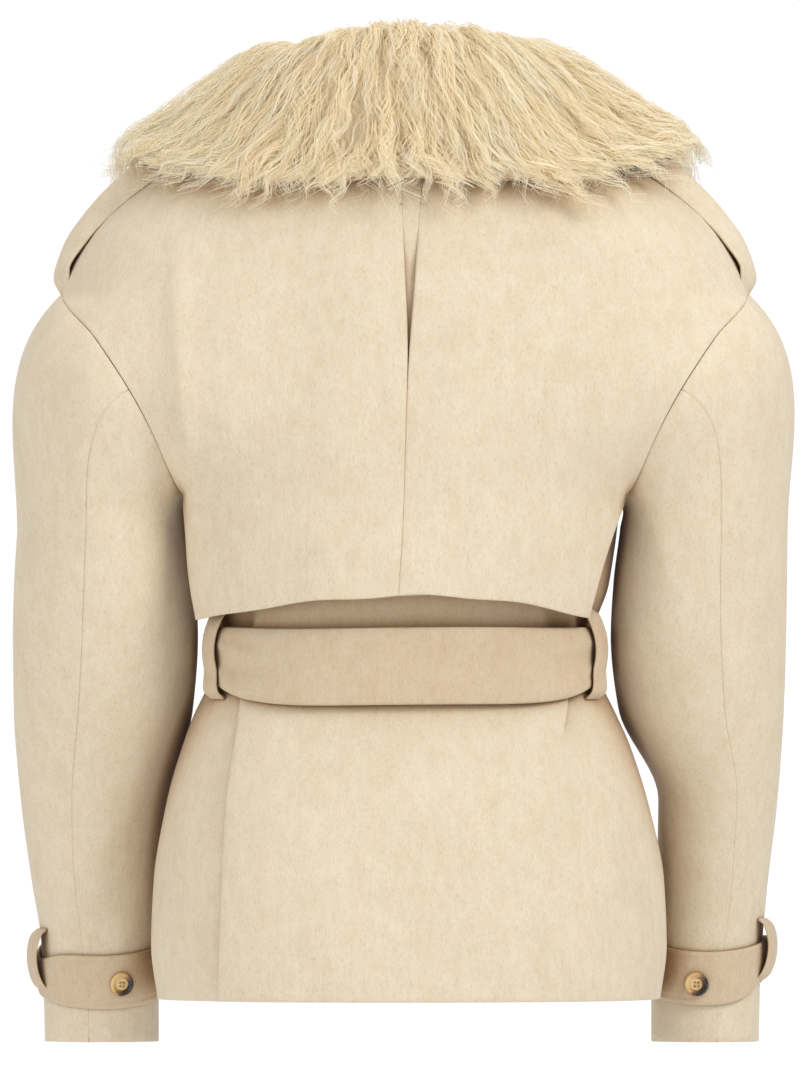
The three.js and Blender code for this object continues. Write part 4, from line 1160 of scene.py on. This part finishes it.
LOOP_WIDTH, LOOP_OUT, LOOP_TOP, LOOP_BOTTOM = 21, 14, -393, -458
belt_loops = {
    side: bridge(f"belt_loop_cloth_{name}", loop_on_body(side), LOOP_WIDTH, LOOP_OUT, LOOP_TOP, LOOP_BOTTOM,
                 angle=math.radians(65), radius=120, bow=5)
    for side, name in SIDES.items()
}
print("belt:", len(belt.data.polygons), "faces, with", len(belt_loops), "loops")

# %% [markdown]
# ## The cuffs
#
# A strap goes round each cuff through a loop on the outer side, and a horn button holds its end at
# the back. The strap sags a little below level at the back, as the photo shows.

# %% Cuff straps and loops
STRAP_HEIGHT, STRAP_SAG, STRAP_OUT, STRAP_GATHER = 41, 12, 1.5, 0.3
STRAP_MIDDLE, STRAP_DROP = {-1: -667, 1: -664}, {-1: 5, 1: -6}
CUFF_LOOP_ENDS = {-1: (-640, -684), 1: (-632, -676)}
CUFF_LOOP_WIDTH, CUFF_LOOP_OUT = 21, 9
STRAP_FROM, STRAP_TO, GATHER_ANGLE, CUFF_LOOP_ANGLE = np.radians((-106, 166, 12, 19))


def cuff_point(side, angle, height, out):
    """The strap sags at the back, and drops and gathers where the loop holds it."""
    at_loop = np.exp(-((angle - GATHER_ANGLE) / 0.55) ** 2)
    middle = STRAP_MIDDLE[side] - STRAP_SAG * np.maximum(0, np.sin(angle)) - STRAP_DROP[side] * at_loop
    return sleeve_ring(side, angle, middle + STRAP_HEIGHT / 2 * (1 - STRAP_GATHER * at_loop) * height, out)


def cuff_strap(side):
    height, angle = np.meshgrid(np.linspace(-0.95, 0.95, 33), np.linspace(STRAP_FROM, STRAP_TO, 120))
    from_edge = (1 - np.abs(height)) * STRAP_HEIGHT / 2
    ripple = 0.5 * np.sin(angle * 7 + height * 1.5) * (1 - height * height)
    rim = stitch_channel(from_edge) - 0.7 * np.exp(-((from_edge / 2) ** 2))
    outer = cuff_point(side, angle, height, STRAP_OUT + STRAP_CLOTH + ripple + rim)
    inner = cuff_point(side, angle, height, STRAP_OUT + ripple * 0.6)
    return cloth(f"cuff_strap_cloth_{SIDES[side]}", outer, inner, TRIM_SHADED_LOOK)


cuff_straps = {side: cuff_strap(side) for side in SIDES}
cuff_loops = {
    side: bridge(f"cuff_loop_cloth_{name}", partial(sleeve_ring, side), CUFF_LOOP_WIDTH, CUFF_LOOP_OUT,
                 *CUFF_LOOP_ENDS[side], angle=CUFF_LOOP_ANGLE, radius=46, bow=-4)
    for side, name in SIDES.items()
}
print("cuffs:", len(cuff_straps), "straps and", len(cuff_loops), "loops")

# %% [markdown]
# ## The horn buttons
#
# A cuff button is turned from horn: a dished face inside a rounded rim, with four holes. The face is
# a fine round grid whose points sink where the holes are, so the holes are real hollows and the
# thread through them can be a pair of small crossing stitches.

# %% The buttons
BUTTON_RADIUS = 9.25
HOLE_RADIUS, HOLE_FROM_MIDDLE = 1.05, 1.9
HOLE_DEPTH, THREAD_RADIUS = 1.9, 0.42
BUTTON_Z = -680
BUTTON_ANGLES = {-1: math.radians(109), 1: math.radians(99)}
BUTTON_FLOOR = 2.5
BUTTON_PROFILE = curves(
    "share radius height",
    (0, 0, BUTTON_FLOOR), (0.3, 0.5, BUTTON_FLOOR), (0.45, 0.7, 2.85), (0.58, 0.84, 3.6), (0.7, 0.95, 3.2),
    (0.8, 1, 1.8), (0.9, 0.96, 0.9), (1, 0.7, 0),
)


def thread_look():
    material, tree, shader = new_material("waxed cream thread", {"Roughness": 0.6})
    place = named_node(tree, "ShaderNodeTexCoord")
    colour = ramp(tree, noise(tree, place, 2400, 2), (0.35, (0.5, 0.42, 0.3)), (0.65, (0.72, 0.64, 0.5)))
    tree.links.new(colour, shader.inputs["Base Color"])
    return material


THREAD_LOOK = thread_look()


def button_axes(side):
    """Middle of the button's seat, and its directions: out, right across the back, and up."""
    angle = BUTTON_ANGLES[side]
    height = (BUTTON_Z - STRAP_MIDDLE[side] + STRAP_SAG * math.sin(angle)) / (STRAP_HEIGHT / 2)

    def face(a, h):
        return cuff_point(side, np.array(a), np.array(h), STRAP_OUT + STRAP_CLOTH)

    seat = face(angle, height)
    way = outward(face, angle, height, -side)
    across = unit(np.cross(way, (0, 0, 1.0)))
    across = across if across[0] > 0 else -across
    up = unit(np.cross(across, way))
    return seat + way * SEAM, way, across, up if up[2] > 0 else -up


def make_button(side, name):
    seat, way, across, up = button_axes(side)
    share = np.linspace(0, 1, 64)[:, None]
    turn = np.linspace(0, 2 * math.pi, 96, endpoint=False)[None, :]
    radius = BUTTON_RADIUS * BUTTON_PROFILE.radius(share)
    x, y = radius * np.cos(turn), radius * np.sin(turn)
    height = BUTTON_PROFILE.height(share) + 0 * turn
    for a in (45, 135, 225, 315):
        hole_x, hole_y = (HOLE_FROM_MIDDLE * f(math.radians(a)) for f in (math.cos, math.sin))
        inside = smooth(0, 0.5, HOLE_RADIUS - np.hypot(x - hole_x, y - hole_y)) * (share < 0.45)
        height = height - HOLE_DEPTH * inside
    points = seat + x[..., None] * across + y[..., None] * up + height[..., None] * way
    rows, columns = points.shape[:2]
    faces = grid_faces(rows, columns, wrap=True)
    last = (rows - 1) * columns
    close = [(last + k, last + (k + 1) % columns, rows * columns, rows * columns) for k in range(columns)]
    mesh_points = np.concatenate((points.reshape(-1, 3), seat[None]))
    obj = make_piece(f"cuff_button_horn_{name}", mesh_points, np.concatenate((faces, close)), HORN_LOOK)
    patch = 0.42 + 0.34 * (x / BUTTON_RADIUS) - 0.2 * (y / BUTTON_RADIUS) - 0.28 * (share < 0.3)
    patch = np.append(patch.ravel(), 0.3)[:len(obj.data.vertices)]
    paint(obj, "horn patch", patch)
    return obj


def make_thread(side, name):
    """Two crossing stitches through the holes, each a short bent tube."""
    seat, way, across, up = button_axes(side)
    points, faces = [], []
    t = np.linspace(-1, 1, 17)
    turn = np.linspace(0, 2 * math.pi, 8, endpoint=False)
    for k, a in enumerate((45, 135)):
        along = across * math.cos(math.radians(a)) + up * math.sin(math.radians(a))
        beside = unit(np.cross(along, way))
        height = BUTTON_FLOOR + 0.45 + 0.45 * k - 2.2 * smooth(0.72, 1, np.abs(t))
        line = seat + along * (t * HOLE_FROM_MIDDLE)[:, None] + way * height[:, None]
        ring = beside * np.cos(turn)[:, None] + way * np.sin(turn)[:, None]
        tube = line[:, None] + ring[None] * THREAD_RADIUS
        faces.append(grid_faces(len(t), len(turn), start=sum(len(p) for p in points), wrap=True))
        points.append(tube.reshape(-1, 3))
    return make_piece(f"button_thread_{name}", np.concatenate(points), np.concatenate(faces), THREAD_LOOK)


buttons = {side: make_button(side, name) for side, name in SIDES.items()}
threads = {side: make_thread(side, name) for side, name in SIDES.items()}
print("buttons:", BUTTON_RADIUS * 2, "mm across")

# %% [markdown]
# ## Each piece takes the place of its solid
#
# A piece replaces the plain solid that stood for it, which is hidden, and rides with the coat, which
# is one body because cloth has no joints. For each cloth piece, the size that it is cut to and its
# flat area are then printed beside the area of the piece as made. The area is that of the flat piece,
# where it isn't a rectangle.

# %% Places and cuts
def stands_for(piece, node):
    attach(piece, "root")
    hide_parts(node)


stands_for(fur_pelt, "fur_collar")
for hair in (*fur_locks, fur_under, fur_wisps):
    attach(hair, "root")
for side, name in SIDES.items():
    stands_for(buttons[side], f"cuff_button_{name}")
    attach(threads[side], "root")

# Each cloth piece: its node, width and length of the cut and its flat area in metres, how it is held,
# and what it lies on
CUTS = [
    (back, "back", (0.62, 0.72), 0.355, "hung", ()),
    (storm_flap, "storm_flap", (0.66, 0.42), 0.222, "hung", ("back",)),
    (under_collar, "under_collar", (1.11, 0.18), 0.13, "folded", ("back",)),
    (belt, "belt", (0.99, 0.06), 0.056, "draped", ("back", "front_left", "front_right")),
]
for side, name in SIDES.items():
    arm, shoulder = (f"sleeve_upper_{name}",), (f"front_{name}", "storm_flap")
    CUTS += [
        (fronts[side], f"front_{name}", (0.36, 0.72), 0.183, "hung", ()),
        (sleeves[side, True], f"sleeve_upper_{name}", (0.24, 0.60), 0.118, "hung", ()),
        (sleeves[side, False], f"sleeve_under_{name}", (0.20, 0.53), 0.085, "hung", ()),
        (straps[side], f"shoulder_strap_{name}", (0.06, 0.205), 0.0108, "laid", shoulder),
        (belt_loops[side], f"belt_loop_{name}", (0.021, 0.085), None, "laid", ("back",)),
        (cuff_straps[side], f"cuff_strap_{name}", (0.041, 0.24), None, "laid", arm),
        (cuff_loops[side], f"cuff_loop_{name}", (0.021, 0.068), None, "laid", arm),
    ]
for piece, node, flat, area, held, under in CUTS:
    stands_for(piece, node)
    made = sum(face.area for face in piece.data.polygons) / 2
    print(piece.name, "cut", flat, "m, flat", area or round(flat[0] * flat[1], 4), "m2, made",
          round(made, 4))

# %% [markdown]
# ## Floor, light and camera
#
# The coat hangs in a pale studio. A broad soft light shines from the right, weaker ones from the left,
# from above and on the front, and the air around gives the rest. The camera looks level at the back
# through a very long lens from twenty metres away, so that near and far parts keep one scale.

# %% Floor and light
FLOOR_Z, FLOOR_RADIUS = -1.25, 2.6
bpy.ops.mesh.primitive_circle_add(
    vertices=128, radius=FLOOR_RADIUS, fill_type="NGON", location=(0, 0, FLOOR_Z)
)
floor = bpy.context.object
floor.name = "floor"
floor.data.materials.append(
    new_material("pale floor", {"Base Color": (0.93, 0.93, 0.93, 1), "Roughness": 0.9})[0]
)

world = bpy.data.worlds.new("pale studio")
bpy.context.scene.world = world
world.use_nodes = True
sky = world.node_tree
ambient = sky.nodes["Background"]
seen = named_node(sky, "ShaderNodeBackground")
for air, strength in ((ambient, 0.46), (seen, 1.05)):
    air.inputs["Color"].default_value = (1, 1, 1, 1)
    air.inputs["Strength"].default_value = strength
path = named_node(sky, "ShaderNodeLightPath")
either = named_node(sky, "ShaderNodeMixShader")
sky.links.new(path.outputs["Is Camera Ray"], either.inputs["Fac"])
sky.links.new(ambient.outputs["Background"], either.inputs[1])
sky.links.new(seen.outputs["Background"], either.inputs[2])
sky.links.new(either.outputs["Shader"], sky.nodes["World Output"].inputs["Surface"])


LIGHT_AIM = (0, 0, -0.35)


def soft_light(name, place, size, power):
    data = bpy.data.lights.new(name, "AREA")
    data.shape = "SQUARE"
    data.size = size
    data.energy = power
    light = bpy.data.objects.new(name, data)
    light.location = place
    way = np.array(LIGHT_AIM, float) - np.array(place, float)
    tilt, heading = math.atan2(math.hypot(way[0], way[1]), -way[2]), math.atan2(way[1], way[0])
    light.rotation_euler = (tilt, 0, heading - math.pi / 2)
    bpy.context.scene.collection.objects.link(light)


soft_light("key light", (2.3, -2.1, 1.5), 1.4, 62)
soft_light("fill light", (-1.6, -3, 0.3), 2.4, 23)
soft_light("side light", (-2.6, -1.4, 0), 1.6, 13)
soft_light("top light", (0.2, -0.1, 2.2), 2, 20)
soft_light("front light", (-1.2, 2.8, 0.8), 2.2, 20)

# %% Camera
VIEW_DISTANCE, COAT_MIDDLE_Y = 20.0, 0.03
VIEW_MIDDLE_X, VIEW_MIDDLE_Z, VIEW_HEIGHT = -0.00385, -0.333, 0.82
SENSOR = 36
camera_data = bpy.data.cameras.new("camera")
camera_data.sensor_width = SENSOR
camera_data.lens = SENSOR * (VIEW_DISTANCE + COAT_MIDDLE_Y) / VIEW_HEIGHT
camera_data.clip_end = 100
camera = bpy.data.objects.new("camera", camera_data)
camera.location = (VIEW_MIDDLE_X, -VIEW_DISTANCE, VIEW_MIDDLE_Z)
camera.rotation_euler = (math.pi / 2, 0, 0)
bpy.context.scene.collection.objects.link(camera)
bpy.context.scene.camera = camera
bpy.context.scene.view_settings.view_transform = "Standard"
print("camera", VIEW_DISTANCE, "m behind the coat, lens", round(camera_data.lens), "mm")
